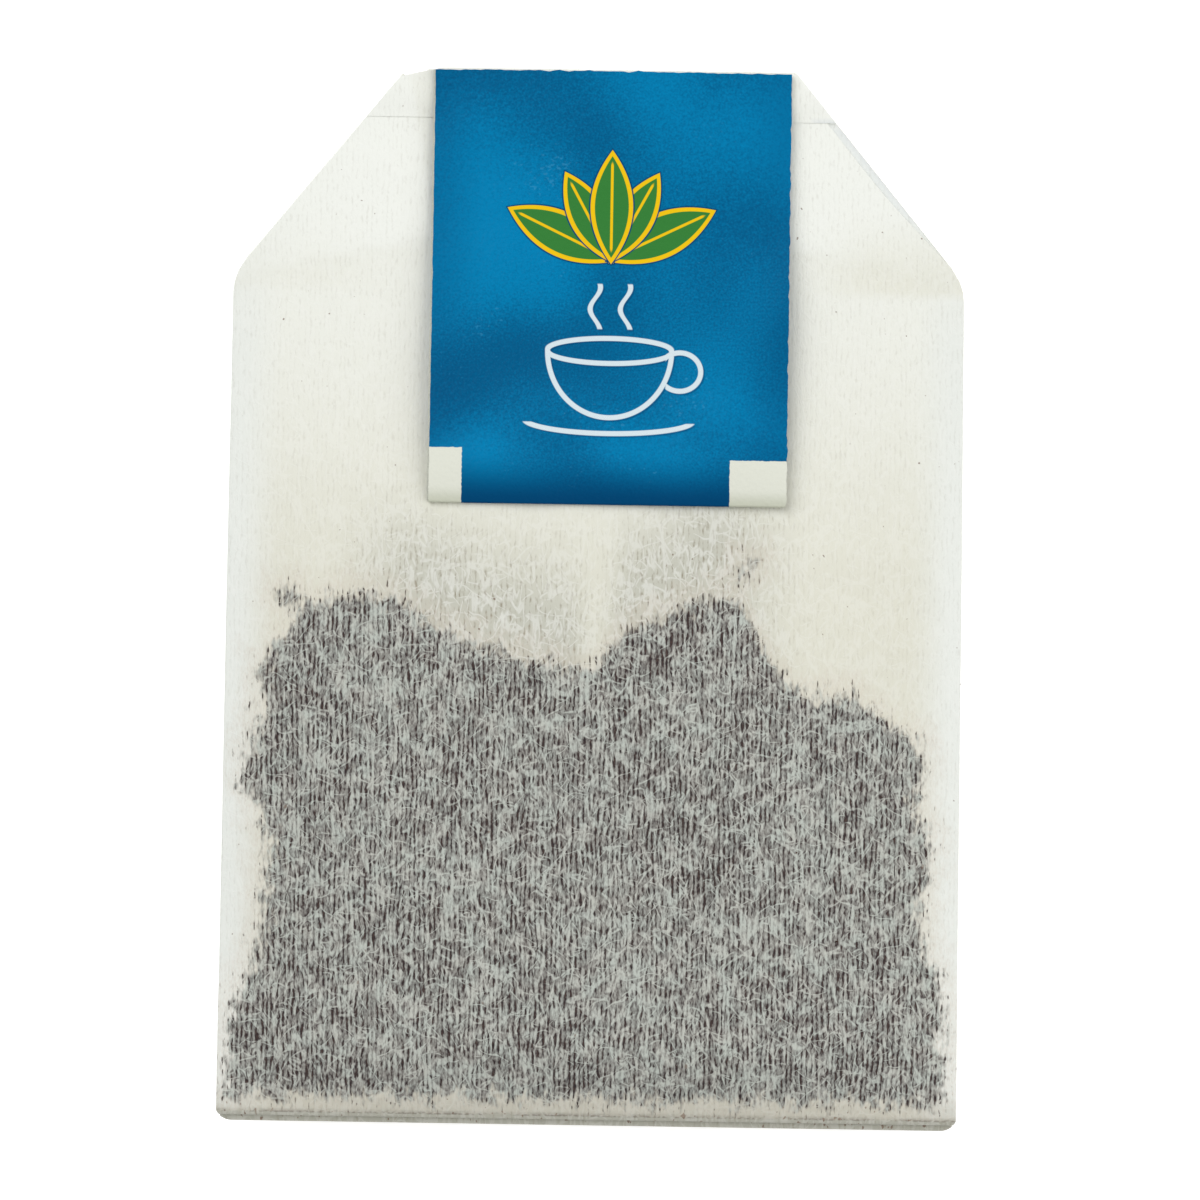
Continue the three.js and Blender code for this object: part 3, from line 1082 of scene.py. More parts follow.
    def _steam(self, across: Wire, up: Wire) -> Wire:
        """Two curls of steam over the cup.

        Args:
            across: Distance across from the tag's middle line.
            up: Distance up from its lower fold.

        Returns:
            1 on the curls, 0 beside them.
        """
        curl = (up * (2 * math.pi / self.steam_pitch)).cosine() * self.steam_swing
        ends = (up - self.steam_from).ease(-0.05, 0.05) * (up - self.steam_to).ease(0.05, -0.05)
        left, right = (self._line(across - at_x - curl) for at_x in self.steam_x)
        return left.most(right) * ends


# ---------------------------------------------------------------- the bag


@dataclass
class FilterBag:
    """One strip of filter paper, made into a tube and folded into two chambers."""

    size: BagSize
    ply: PlySize = field(default_factory=PlySize)
    fill: FillSize = field(default_factory=FillSize)
    crumples: CrumpleSize = field(default_factory=CrumpleSize)
    mark: MarkSize = field(default_factory=MarkSize)
    tea: TeaOutline = field(default_factory=TeaOutline)
    columns: int = 96
    back_columns: int = 14
    leg_rows: int = 128
    leg_spread: float = 1.35
    turn_rows: int = 8
    cuff_rows: int = 8
    gusset_rows: int = 3
    side_angles: tuple[int, ...] = (60, 30, 0, -30, -60)

    def half_width(self, y: float, hand: int) -> float:
        """Half the width of the bag at a height.

        Args:
            y: Height over the bottom fold.
            hand: 1 for the right side, -1 for the left.

        Returns:
            The distance from the middle line to the side.
        """
        s = self.size
        tangent = s.shoulder_round * math.tan(s.slant / 2)
        arc_from = s.shoulder_y - tangent
        arc_to = s.shoulder_y + tangent * math.cos(s.slant)
        if y > arc_to:
            half = s.half_head + (s.length - y) * math.tan(s.slant)
            past = (y - (s.length - s.blunt_drop)) / s.blunt_drop
            return half - max(0.0, past) * s.blunt_in if hand < 0 else half
        if y > arc_from:
            return s.half_shoulder - s.shoulder_round + math.sqrt(s.shoulder_round**2 - (y - arc_from) ** 2)
        side = s.half_bottom + (s.half_shoulder - s.half_bottom) * y / arc_from
        cut = max(0.0, s.corner_round - y)
        return side - s.corner_round + math.sqrt(s.corner_round**2 - cut**2)

    def middle_z(self, y: float) -> float:
        """Height of the plane between the chambers."""
        droop = float(smooth_step(self.ply.droop_from, self.ply.droop_to, y))
        return self.ply.chamber_middle + (self.ply.head_middle - self.ply.chamber_middle) * droop

    def edge_z(self, side: Side, y: float) -> float:
        """Height of a chamber's side folds."""
        apart = 1 - float(smooth_step(self.ply.gusset, self.ply.gusset + self.ply.gusset_settle, y))
        return self.middle_z(y) + side.value * self.ply.turn * (1 + 2 * apart) * self.ply.pressed(y)

    def depth(self, side: Side, y: float) -> float:
        """How far a chamber's outer paper stands off its side folds, along the middle line.

        Args:
            side: The chamber.
            y: Height over the bottom fold.

        Returns:
            The distance.
        """
        foot = self.foot_y(side)
        rise = math.sin(math.pi / 2 * min(1.0, max(0.0, (y - foot) / self.fill.fill_over)))
        full_to = self.fill.front_full_to if side is Side.FRONT else self.fill.rear_full_to
        fall = 1 - float(smooth_step(full_to, self.fill.flat_from, y))
        top = self.middle_z(y) + self.fill.crown if side is Side.FRONT else 0.0
        full = side.value * (top - self.edge_z(side, y))
        flat = self.ply.half_flat * self.ply.pressed(y)
        return flat + (full - flat) * rise * fall

    def foot_y(self, side: Side) -> float:
        """Where a chamber's paper starts to turn under at the bottom."""
        short = self.ply.front_short if side is Side.FRONT else 0.0
        return short + self.ply.turn + self.ply.half_flat

    def across_profile(self, side: Side, u: Points) -> Points:
        """The swelling across the bag.

        Args:
            side: The chamber.
            u: Share across, from -1 at the left side fold to 1 at the right one.

        Returns:
            1 on the middle line, falling to 0 at the side folds.
        """
        if side is Side.FRONT:
            return (1 - np.abs(u) ** self.fill.round_power) ** self.fill.flat_power
        past = np.clip((np.abs(u) - self.fill.rest_half) / (1 - self.fill.rest_half), 0, 1)
        return np.sqrt(1 - past**2)

    def stations(self) -> list[dict]:
        """Places down the tube, each with its heading in the side view and its chamber.

        Layers of paper stack in levels, a turn's radius apart: the front chamber's outer
        paper is on level 1, the rear chamber's on -1, and the cuff's two layers on 3 and 5.

        Returns:
            One row for each section of the tube.
        """
        turn, flat = self.ply.turn, self.ply.half_flat
        head_turn = turn * self.ply.head_share
        front_foot, rear_foot = self.foot_y(Side.FRONT), self.foot_y(Side.REAR)
        peak_y = self.ply.gusset - turn - flat
        head_y = self.size.length - 3 * head_turn - flat * self.ply.head_share
        cuff_y = self.size.length - self.ply.cuff
        rows: list[dict] = []

        def leg(levels: int, start: float, end: float, steps: int, side: Side | None) -> None:
            """Add a straight run of rows.

            Args:
                levels: Level of the run.
                start: Where it starts.
                end: Where it ends.
                steps: How many steps it has.
                side: Its chamber, or None in a gusset or a cuff.
            """
            spread = np.linspace(0, 1, steps + 1) ** (self.leg_spread if side else 1)
            for y in start + (end - start) * (1 - spread[::-1] if start > end else spread):
                z = self.edge_z(side, y) if side else self.middle_z(y) + levels * turn * self.ply.pressed(y)
                rows.append({
                    "y": y,
                    "z": z,
                    "dy": math.copysign(1, end - start),
                    "dz": 0.0,
                    "side": side,
                    "flat": flat * self.ply.pressed(y),
                })

        def bend(y: float, levels: int, span: int, heading: int, swing: int) -> None:
            """Add a half turn of rows.

            Args:
                y: Where the turn starts and ends.
                levels: Level of its middle.
                span: Its radius, in levels.
                heading: 1 for a turn at an upper end, -1 for one at a lower end.
                swing: 1 for a turn towards the front, -1 for one towards the back.
            """
            pressed = self.ply.pressed(y)
            radius = span * turn * pressed
            for i in range(1, self.turn_rows):
                a = math.pi * i / self.turn_rows
                rows.append({
                    "y": y + heading * radius * math.sin(a),
                    "z": self.middle_z(y) + levels * turn * pressed - swing * radius * math.cos(a),
                    "dy": heading * math.cos(a),
                    "dz": swing * math.sin(a),
                    "side": None,
                    "flat": flat * pressed,
                })

        leg(3, cuff_y, head_y, self.cuff_rows, None)
        bend(head_y, 2, 1, 1, -1)
        leg(1, head_y, front_foot, self.leg_rows, Side.FRONT)
        bend(front_foot, 2, 1, -1, -1)
        leg(1, front_foot, peak_y, self.gusset_rows, None)
        bend(peak_y, 0, 1, 1, -1)
        leg(-1, peak_y, rear_foot, self.gusset_rows, None)
        bend(rear_foot, -2, 1, -1, -1)
        leg(-1, rear_foot, head_y, self.leg_rows, Side.REAR)
        bend(head_y, 2, 3, 1, 1)
        leg(5, head_y, cuff_y, self.cuff_rows, None)
        for row in rows[:self.cuff_rows + 1]:
            self.press_cuff(row, 3)
        for row in rows[-self.cuff_rows - 1:]:
            self.press_cuff(row, 5)
        return rows

    def press_cuff(self, row: dict, levels: int) -> None:
        """Press the cuff flat onto the front paper towards its free edge.

        Args:
            row: A row of stations(), changed in place.
            levels: Its level, 3 for the cuff's lower layer and 5 for the upper one.
        """
        y, ply = row["y"], self.ply
        from_y = self.size.length - ply.cuff
        free = 1 - float(smooth_step(from_y, from_y + ply.cuff_press_over, y))
        row["flat"] *= 1 - free * ply.cuff_press
        rest = self.middle_z(y) + (ply.turn + ply.half_flat) * ply.pressed(y)
        rest += (levels - 2) * ply.cuff_stack * row["flat"]
        row["z"] += (rest - row["z"]) * free

    def section(self, row: dict, inset: float) -> tuple[Points, Points, Points]:
        """One closed section of the tube.

        Args:
            row: A row of stations().
            inset: 0 for the outer face of the paper, or its thickness for the inner one.

        Returns:
            Points across, points through, and the share across, for each corner of the ring.
        """
        flat = row["flat"] - min(inset, self.ply.most_wall * row["flat"])
        side = row["side"]
        peek = 0.0
        if side is Side.FRONT:
            s = self.size
            peek = s.peek * float(smooth_step(s.peek_from, s.peek_from + s.peek_over, row["y"]))
        outer_y = row["y"] + row["flat"] * row["dz"]
        left = self.half_width(outer_y, -1) - row["flat"]
        right = self.half_width(outer_y, 1) - row["flat"] - peek
        middle, half = (right - left) / 2, (right + left) / 2
        u = np.linspace(-1, 1, self.columns + 1)
        swell = 0.0
        if side:
            swell = (self.depth(side, row["y"]) - row["flat"]) * self.across_profile(side, u)
        front_n = np.full_like(u, flat) + swell
        seam = self.ply.seam_half
        seam_out = seam + self.ply.seam_edge
        rise = 0.0 if inset else self.ply.seam_rise
        v = np.linspace(1, -1, self.back_columns)
        back_x = np.concatenate([v[v > 0] * half, [seam_out, seam, -seam, -seam_out], v[v < 0] * half])
        back_n = -np.where(np.abs(back_x) <= seam, flat + rise, flat)
        fold = np.radians(self.side_angles)
        x = np.concatenate([
            middle + u * half,
            right + flat * np.cos(fold),
            middle + back_x,
            -left - flat * np.cos(fold[::-1]),
        ])
        n = np.concatenate([front_n, flat * np.sin(fold), back_n, flat * np.sin(fold[::-1])])
        sides = np.ones(len(fold))
        share = np.concatenate([u, sides, np.full(len(back_x), np.nan), -sides])
        return x, n, share

    def crumple(self, points: Points, side: Side, room: Points) -> Points:
        """Small waves and dents of the outer paper.

        Args:
            points: Places across and along, in millimetres.
            side: The chamber.
            room: How far the paper stands off its side folds there.

        Returns:
            Extra height, in millimetres.
        """
        c = self.crumples
        x, y = points[..., 0], points[..., 1]
        loose = np.clip(room / c.loose_room, 0, 1)
        wave, lumps = (
            sum(high * ripple(points, size, seed + side.value) for high, size, seed in layers)
            for layers in (c.waves, c.lumps)
        )
        filled = np.clip(self.tea.depth(x, y) / 2 + 0.6, 0, 1)
        edge = np.clip(1 - room / c.pucker_room, 0, 1) * loose
        drift = c.pucker_drift * ripple(points, c.pucker_size, c.pucker_seed + side.value)
        pucker = c.pucker * edge * np.sin(y * c.pucker_pitch + drift)
        height = (wave + lumps * filled) * loose + pucker
        if side is Side.REAR:
            return np.minimum(height, 0.0)
        return height + c.flap * self.flap_behind(x, y) * smooth_step(*c.flap_below, y)

    def build(self) -> bpy.types.Object:
        """Build the folded bag.

        Returns:
            The bag's object.
        """
        rows = self.stations()
        count = len(self.section(rows[0], 0.0)[0])
        across, through, share = (np.empty((2, len(rows), count)) for _ in range(3))
        for k, row in enumerate(rows):
            for shell, inset in enumerate((0.0, self.ply.wall)):
                across[shell, k], through[shell, k], share[shell, k] = self.section(row, inset)
        y = np.array([row["y"] for row in rows])
        face = slice(0, self.columns + 1)
        for side in Side:
            here = [k for k, row in enumerate(rows) if row["side"] is side]
            flat_x = across[0, here, face]
            places = np.stack([flat_x, np.broadcast_to(y[here, None], flat_x.shape)], axis=-1)
            flats = np.array([rows[k]["flat"] for k in here])[:, None]
            extra = self.crumple(places, side, through[0, here, face] - flats)
            for shell in (0, 1):
                through[shell][np.ix_(here, range(self.columns + 1))] += extra
        dy = np.array([row["dy"] for row in rows])[None, :, None]
        dz = np.array([row["dz"] for row in rows])[None, :, None]
        z = np.array([row["z"] for row in rows])[None, :, None]
        points = np.stack([across, y[None, :, None] + through * dz, z - through * dy], axis=-1)
        heights = points[..., 2]
        np.clip(heights, 0.0, self.size.crown_z, out=heights)
        points[..., 1] -= self.size.length / 2
        shell_size = len(rows) * count
        faces = ring_faces(len(rows), count, 0, False) + ring_faces(len(rows), count, shell_size, True)
        for row, flip in ((0, False), (len(rows) - 1, True)):
            for i in range(count):
                j = (i + 1) % count
                a, b = shell_size + row * count, row * count
                quad = (a + i, b + i, b + j, a + j)
                faces.append(quad[::-1] if flip else quad)
        attributes = self.marks(rows, across, share)
        bag = make_object("folded_filter_paper", points.reshape(-1, 3), faces, attributes)
        outward(bag)
        return bag

    def marks(self, rows: list[dict], across: Points, share: Points) -> dict[str, Points]:
        """Values that the paper's finish reads at each point.

        Args:
            rows: The stations.
            across: Distance across for each shell, station and corner.
            share: Share across for each of them, or not a number on the inner paper.

        Returns:
            The attributes by name.
        """
        y = np.broadcast_to(np.array([row["y"] for row in rows])[None, :, None], across.shape)
        path = np.concatenate([[0.0], np.cumsum([
            math.hypot(b["y"] - a["y"], b["z"] - a["z"]) for a, b in zip(rows, rows[1:])
        ])])
        along = np.broadcast_to(path[None, :, None], across.shape)
        outer = ~np.isnan(share)
        faced = np.array([row["side"] is not None for row in rows])[None, :, None] & outer
        wrap = np.where(outer, across, 2 * self.size.half_bottom - across)
        depth = self.tea.depth(across, y)
        half = np.array([self.half_width(row["y"], 1) for row in rows])[None, :, None]
        edge = half - np.abs(across)
        m, size = self.mark, self.size
        column = np.exp(-(((across - m.column_x) / m.column_half) ** 2))
        haze = smooth_step(*m.haze, depth) * smooth_step(*m.haze_below, y) * smooth_step(*m.haze_above, y)
        dust = m.dust * haze * smooth_step(*m.dust_within, np.abs(across - m.dust_x))
        dust = dust * (1 - m.column_clear * column)
        foot = smooth_step(*m.foot_wide, y) * m.foot_wide_share
        foot = foot + smooth_step(*m.foot_edge, y) * m.foot_edge_share
        lit = smooth_step(*m.lit_above, y) * m.lit + m.lit_flap * self.flap_behind(across, y)
        front = np.array([row["side"] is Side.FRONT for row in rows])[None, :, None]
        covered = front | (y > size.length - self.ply.cuff) | (across < 0)
        # Painted shade and single-ply tone on the rear ply where it shows past the front ply's inset edge.
        gap = size.peek * m.sheer_and_shade_gap * smooth_step(size.peek_from, size.peek_from + size.peek_over, y)
        sheer_and_shade = smooth_step(gap + m.sheer_and_shade_fade, gap, edge) * (gap > m.sheer_and_shade_least)
        # Painted shade of the corner flaps' lower edge, in a band above it, weaker on the left.
        flap_edge_shade = smooth_step(*m.flap_edge_shade_beyond, np.abs(across)) * np.where(across > 0, 1.0, m.flap_edge_shade_left)
        weave = np.stack([wrap, along, np.zeros_like(along)], axis=-1)
        flat = {
            "tea": np.where(faced, np.clip(depth, NO_TEA, MOST_TEA), NO_TEA),
            "margin": smooth_step(*m.margin, edge) * smooth_step(*m.margin_below, y),
            "dust": np.clip(dust, 0, 1) * faced,
            "foot": foot,
            "lit": np.clip(lit, 0, 1),
            "sheer_and_shade": np.where(covered, 0.0, sheer_and_shade),
            "crease": np.exp(-(((y - m.crease_y) / m.crease_half) ** 2)) * faced,
            "flap_edge_shade": flap_edge_shade * smooth_step(*m.flap_edge_shade_above, y) * smooth_step(*m.flap_edge_shade_below, y),
        }
        marks = {name: np.broadcast_to(value, across.shape).reshape(-1) for name, value in flat.items()}
        marks["weave"] = weave.reshape(-1, 3)
        return marks

    def flap_behind(self, across: Points, y: Points) -> Points:
        """Share of the corner folds' paper behind each place, with soft edges.

        Args:
            across: Places across the bag.
            y: Places up from the bottom fold.

        Returns:
            1 where a folded corner lies behind, 0 where none does.
        """
        s = self.size
        run = np.array([s.half_shoulder - s.half_head, s.shoulder_y - s.length])
        corner = np.array([s.half_shoulder, s.length]) - np.array([s.half_head, s.length])
        along = run / np.linalg.norm(run)
        tip = 2 * along * (corner @ along) - corner + np.array([s.half_head, s.length])
        x = np.abs(across)
        shoulder = np.array([s.half_shoulder, s.shoulder_y])
        low = tip[1] + (x - tip[0]) * (shoulder[1] - tip[1]) / (shoulder[0] - tip[0])
        inner = tip[0] + (y - tip[1]) * (s.half_head - tip[0]) / (s.length - tip[1])
        return smooth_step(*self.mark.flap_low, y - low) * smooth_step(*self.mark.flap_inner, x - inner)


@dataclass
class CornerFold:
    """A head corner folded back along the slant, behind the bag."""

    bag: FilterBag
    hand: int
    thickness: float = 0.07
    lip: float = 0.1
    lip_columns: int = 5
    curl: float = 0.35
    from_head: float = 0.5
    from_shoulder: float = 1.1
    least_width: float = 0.3
    lit: float = 0.6
    weave_shift: float = 40.0
    rows: int = 48
    columns: int = 14

    def build(self) -> bpy.types.Object:
        """Build the folded corner.

        Returns:
            The corner's object.
        """
        size, ply = self.bag.size, self.bag.ply
        sin, cos = math.sin(size.slant), math.cos(size.slant)
        run = (size.half_shoulder - size.half_head) / sin
        foot = (size.half_shoulder - size.half_head) * sin
        reach = (size.half_shoulder - size.half_head) * cos
        rear_z = ply.head_middle - ply.turn * ply.head_share
        arc = np.radians(np.linspace(90, 270, self.lip_columns))
        steps = np.linspace(0, 1, self.columns + 1)[1:]
        grid = np.zeros((self.rows + 1, self.columns + self.lip_columns, 3))
        for r, t in enumerate(np.linspace(self.from_head, run - self.from_shoulder, self.rows + 1)):
            width = reach * (t / foot if t < foot else (run - t) / (run - foot))
            width = max(width, self.least_width)
            flap_d = np.linspace(self.lip, width, self.columns + 1)[1:]
            flap_z = rear_z - 2 * self.lip - self.curl * (steps * width / reach) ** 2
            d = np.concatenate([self.lip + self.lip * np.cos(arc), flap_d])
            z = np.concatenate([rear_z - self.lip + self.lip * np.sin(arc), flap_z])
            x = size.half_head + t * sin - d * cos
            y = size.length - t * cos - d * sin
            grid[r] = np.stack([self.hand * x, y - size.length / 2, z], axis=-1)
        step_t = np.gradient(grid, axis=0)
        step_d = np.gradient(grid, axis=1)
        normals = np.cross(step_t, step_d)
        normals /= np.linalg.norm(normals, axis=-1, keepdims=True)
        if self.hand < 0:
            normals = -normals
        points, faces, _ = slab_from_grid(grid, normals, -self.thickness / 2)
        none = np.zeros(len(points))
        marks = {name: none for name in ("margin", "dust", "foot", "sheer_and_shade", "crease", "flap_edge_shade")}
        marks["tea"] = none + NO_TEA
        marks["lit"] = none + self.lit
        marks["weave"] = np.stack([points[:, 0], points[:, 1] + self.weave_shift, none], axis=-1)
        name = "right_corner_fold" if self.hand > 0 else "left_corner_fold"
        piece = make_object(name, points, faces, marks)
        outward(piece)
        return piece


# ---------------------------------------------------------------- tea, tag and staple


@dataclass
class TeaPortion:
    """Loose broken tea that fills one chamber."""

    node: str
    seed: int
    grain: float = 0.42
    density: float = 1.35
    inner: Triple = (0.9, 0.92, 0.7)
    voxels: float = 90.0
    bent_scale: float = 1.3
    bent_by: float = 1.6
    least: Triple = (0.7, 0.5, 0.35)
    most: Triple = (2.2, 1.0, 0.7)
    most_turn: Triple = (6.283, 6.283, 6.283)

    def build(self, material: bpy.types.Material) -> bpy.types.Object:
        """Fill the space of the CAD portion with grains.

        Args:
            material: The leaf's finish.

        Returns:
            The heap of grains, as one mesh.
        """
        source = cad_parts[self.node]
        carrier = bpy.data.objects.new(self.node + "_leaf", source.data.copy())
        bpy.context.scene.collection.objects.link(carrier)
        self.draw_in(carrier.data)
        modifier = carrier.modifiers.new("grains", "NODES")
        modifier.node_group = self.tree(material)
        sockets = {item.name: item.identifier for item in modifier.node_group.interface.items_tree
                   if item.item_type == "SOCKET" and item.in_out == "INPUT"}
        modifier[sockets["Grain Size"]] = self.grain * MM
        modifier[sockets["Density"]] = self.density / MM**3
        modifier[sockets["Seed"]] = self.seed
        bpy.context.view_layer.update()
        evaluated = carrier.evaluated_get(bpy.context.evaluated_depsgraph_get())
        mesh = bpy.data.meshes.new_from_object(evaluated)
        heap = bpy.data.objects.new(self.node + "_grains", mesh)
        bpy.context.scene.collection.objects.link(heap)
        bpy.data.objects.remove(carrier)
        return heap

    def draw_in(self, mesh: bpy.types.Mesh) -> None:
        """Draw a mesh in towards its middle, so that all but a few grains stay clear of the paper.

        Args:
            mesh: A copy of the CAD portion, changed in place.
        """
        places = np.empty(len(mesh.vertices) * 3, np.float32)
        mesh.vertices.foreach_get("co", places)
        places = places.reshape(-1, 3)
        middle = (places.min(axis=0) + places.max(axis=0)) / 2
        places = middle + (places - middle) * np.array(self.inner)
        mesh.vertices.foreach_set("co", places.astype(np.float32).ravel())

    def tree(self, material: bpy.types.Material) -> bpy.types.NodeTree:
        """Make the nodes that scatter the grains.

        Args:
            material: The leaf's finish.

        Returns:
            The node group.
        """
        group = bpy.data.node_groups.new(self.node + "_scatter", "GeometryNodeTree")
        face = group.interface
        face.new_socket("Geometry", in_out="INPUT", socket_type="NodeSocketGeometry")
        face.new_socket("Grain Size", in_out="INPUT", socket_type="NodeSocketFloat")
        face.new_socket("Density", in_out="INPUT", socket_type="NodeSocketFloat")
        face.new_socket("Seed", in_out="INPUT", socket_type="NodeSocketInt")
        face.new_socket("Geometry", in_out="OUTPUT", socket_type="NodeSocketGeometry")
        nodes, links = group.nodes, group.links

        def add(kind: str, inputs: dict, **settings: object) -> bpy.types.Node:
            """Add any node.

            Args:
                kind: The node's type.
                inputs: Values or sockets by socket name or number.
                settings: The node's properties.

            Returns:
                The node.
            """
            node = nodes.new(kind)
            for name, value in settings.items():
                setattr(node, name, value)
            for key, value in inputs.items():
                if isinstance(value, bpy.types.NodeSocket):
                    links.new(value, node.inputs[key])
                else:
                    node.inputs[key].default_value = value
            return node

        given = nodes.new("NodeGroupInput").outputs
        volume = add("GeometryNodeMeshToVolume", {"Mesh": given["Geometry"], "Density": 1.0,
                                                  "Voxel Amount": self.voxels})
        points = add("GeometryNodeDistributePointsInVolume", {
            "Volume": volume.outputs[0], "Density": given["Density"], "Seed": given["Seed"]})
        chip = add("GeometryNodeMeshIcoSphere", {"Radius": 1.0, "Subdivisions": 1})
        place = add("GeometryNodeInputPosition", {})
        bent = add("ShaderNodeTexNoise", {
            "Vector": place.outputs[0], "Scale": self.bent_scale, "Detail": 1.0})
        centred = add("ShaderNodeVectorMath", {0: bent.outputs["Color"], 1: (0.5, 0.5, 0.5)},
                      operation="SUBTRACT")
        scaled = add("ShaderNodeVectorMath", {0: centred.outputs[0], "Scale": self.bent_by},
                     operation="SCALE")
        curled = add("GeometryNodeSetPosition", {"Geometry": chip.outputs[0], "Offset": scaled.outputs[0]})
        turn = add("FunctionNodeRandomValue", {0: (0.0, 0.0, 0.0), 1: self.most_turn,
                                               "Seed": given["Seed"]}, data_type="FLOAT_VECTOR")
        size = add("FunctionNodeRandomValue", {0: self.least, 1: self.most,
                                               "Seed": given["Seed"]}, data_type="FLOAT_VECTOR")
        sized = add("ShaderNodeVectorMath", {0: size.outputs[0], "Scale": given["Grain Size"]},
                    operation="SCALE")
        heap = add("GeometryNodeInstanceOnPoints", {
            "Points": points.outputs[0], "Instance": curled.outputs[0], "Rotation": turn.outputs[0],
            "Scale": sized.outputs[0]})
        solid = add("GeometryNodeRealizeInstances", {"Geometry": heap.outputs[0]})
        dressed = add("GeometryNodeSetMaterial", {"Geometry": solid.outputs[0], "Material": material})
        links.new(dressed.outputs[0], nodes.new("NodeGroupOutput").inputs[0])
        return group


@dataclass
class PaperTag:
    """The tag: one piece of paper folded double at its lower edge."""

    size: TagSize
    half_length: float

    def profile(self) -> tuple[Points, Points]:
        """Side view of the folded paper's outer face.

        Returns:
            Points (y, z) from the front's top round the fold to the back's top, and their normals.
        """
        s = self.size
        thick = 2 * s.ply + s.gap
        tail = s.top - s.length
        t = np.linspace(0, 1, s.rows)
        y = s.top - (s.length - thick / 2) * t
        under = s.under_head + (s.under_tail - s.under_head) * t - s.sag * 4 * t * (1 - t)
        under -= s.curl * np.clip(1 - (1 - t) * s.length / s.curl_over, 0, 1) ** 2
        slope = np.gradient(under, y)
        up = np.stack([-slope, np.ones_like(slope)], axis=-1)
        up /= np.linalg.norm(up, axis=-1, keepdims=True)
        front = np.stack([y, under + thick], axis=-1)
        back = np.stack([y, under], axis=-1)[::-1]
        arc = np.radians(np.linspace(90, 270, s.fold_columns)[1:-1])
        centre = np.array([tail + thick / 2, under[-1] + thick / 2])
        out = np.stack([np.cos(arc), np.sin(arc)], axis=-1)
        fold = centre + out * thick / 2
        return np.concatenate([front, fold, back]), np.concatenate([up, out, -up[::-1]])

    def build(self) -> bpy.types.Object:
        """Build the tag.

        Returns:
            The tag's object.
        """
        s = self.size
        outline, facing = self.profile()
        u = np.linspace(-0.5, 0.5, s.columns + 1)
        rows, columns = len(outline), len(u)
        grid = np.zeros((rows, columns, 3))
        grid[..., 0] = s.right + u[None, :] * s.width
        grid[..., 1] = outline[:, None, 0]
        grid[..., 2] = outline[:, None, 1]
        back = np.arange(rows) >= rows - s.rows
        normals = np.zeros_like(grid)
        normals[..., 1:] = facing[:, None, :]
        places = grid[..., :2]
        wave_seed, dimple_seed, right_seed, left_seed, end_seed = s.seeds
        wave = s.wave * ripple(places, s.wave_size, wave_seed)
        dimple = s.dimple * ripple(places, s.dimple_size, dimple_seed)
        near_ear = np.exp(-(((outline[:, None, 0] - s.ear_y) / s.ear_over) ** 2))
        ear = 2 * np.clip(u[None, :], 0, None) * near_ear
        grid[..., 2] += wave + dimple + s.ear * ear**2
        strip = np.stack([np.zeros(rows), outline[:, 0]], axis=-1)
        grid[:, -1, 0] += s.tooth * ripple(strip, s.right_tooth, right_seed)
        grid[:, 0, 0] += s.left_tooth_share * s.tooth * ripple(strip, s.left_tooth, left_seed)
        grid[:, 0, 0] -= np.where(back, s.back_left, 0.0)
        end = np.stack([np.zeros(columns), u * s.width], axis=-1)
        comb = s.tooth * ripple(end, s.end_tooth, end_seed)
        grid[0, :, 1] += comb
        grid[-1, :, 1] += comb
        near_head = smooth_step(s.top - s.length * s.staple_lift_over, s.top, grid[..., 1])
        grid[..., 2] += s.staple_lift * near_head * (1 - (2 * u[None, :]) ** 2)
        grid[..., 1] -= self.half_length
        points, faces, rim = slab_from_grid(grid, normals, s.ply)
        tag = make_object("folded_paper_tag", points, faces, {})
        finish = TagFinish(s, self.half_length)
        tag.data.materials.append(finish.build())
        tag.data.materials.append(finish.core())
        slots = np.ones(len(tag.data.polygons), np.int32)
        slots[:rim:2] = 0
        tag.data.polygons.foreach_set("material_index", slots)
        outward(tag)
        return tag


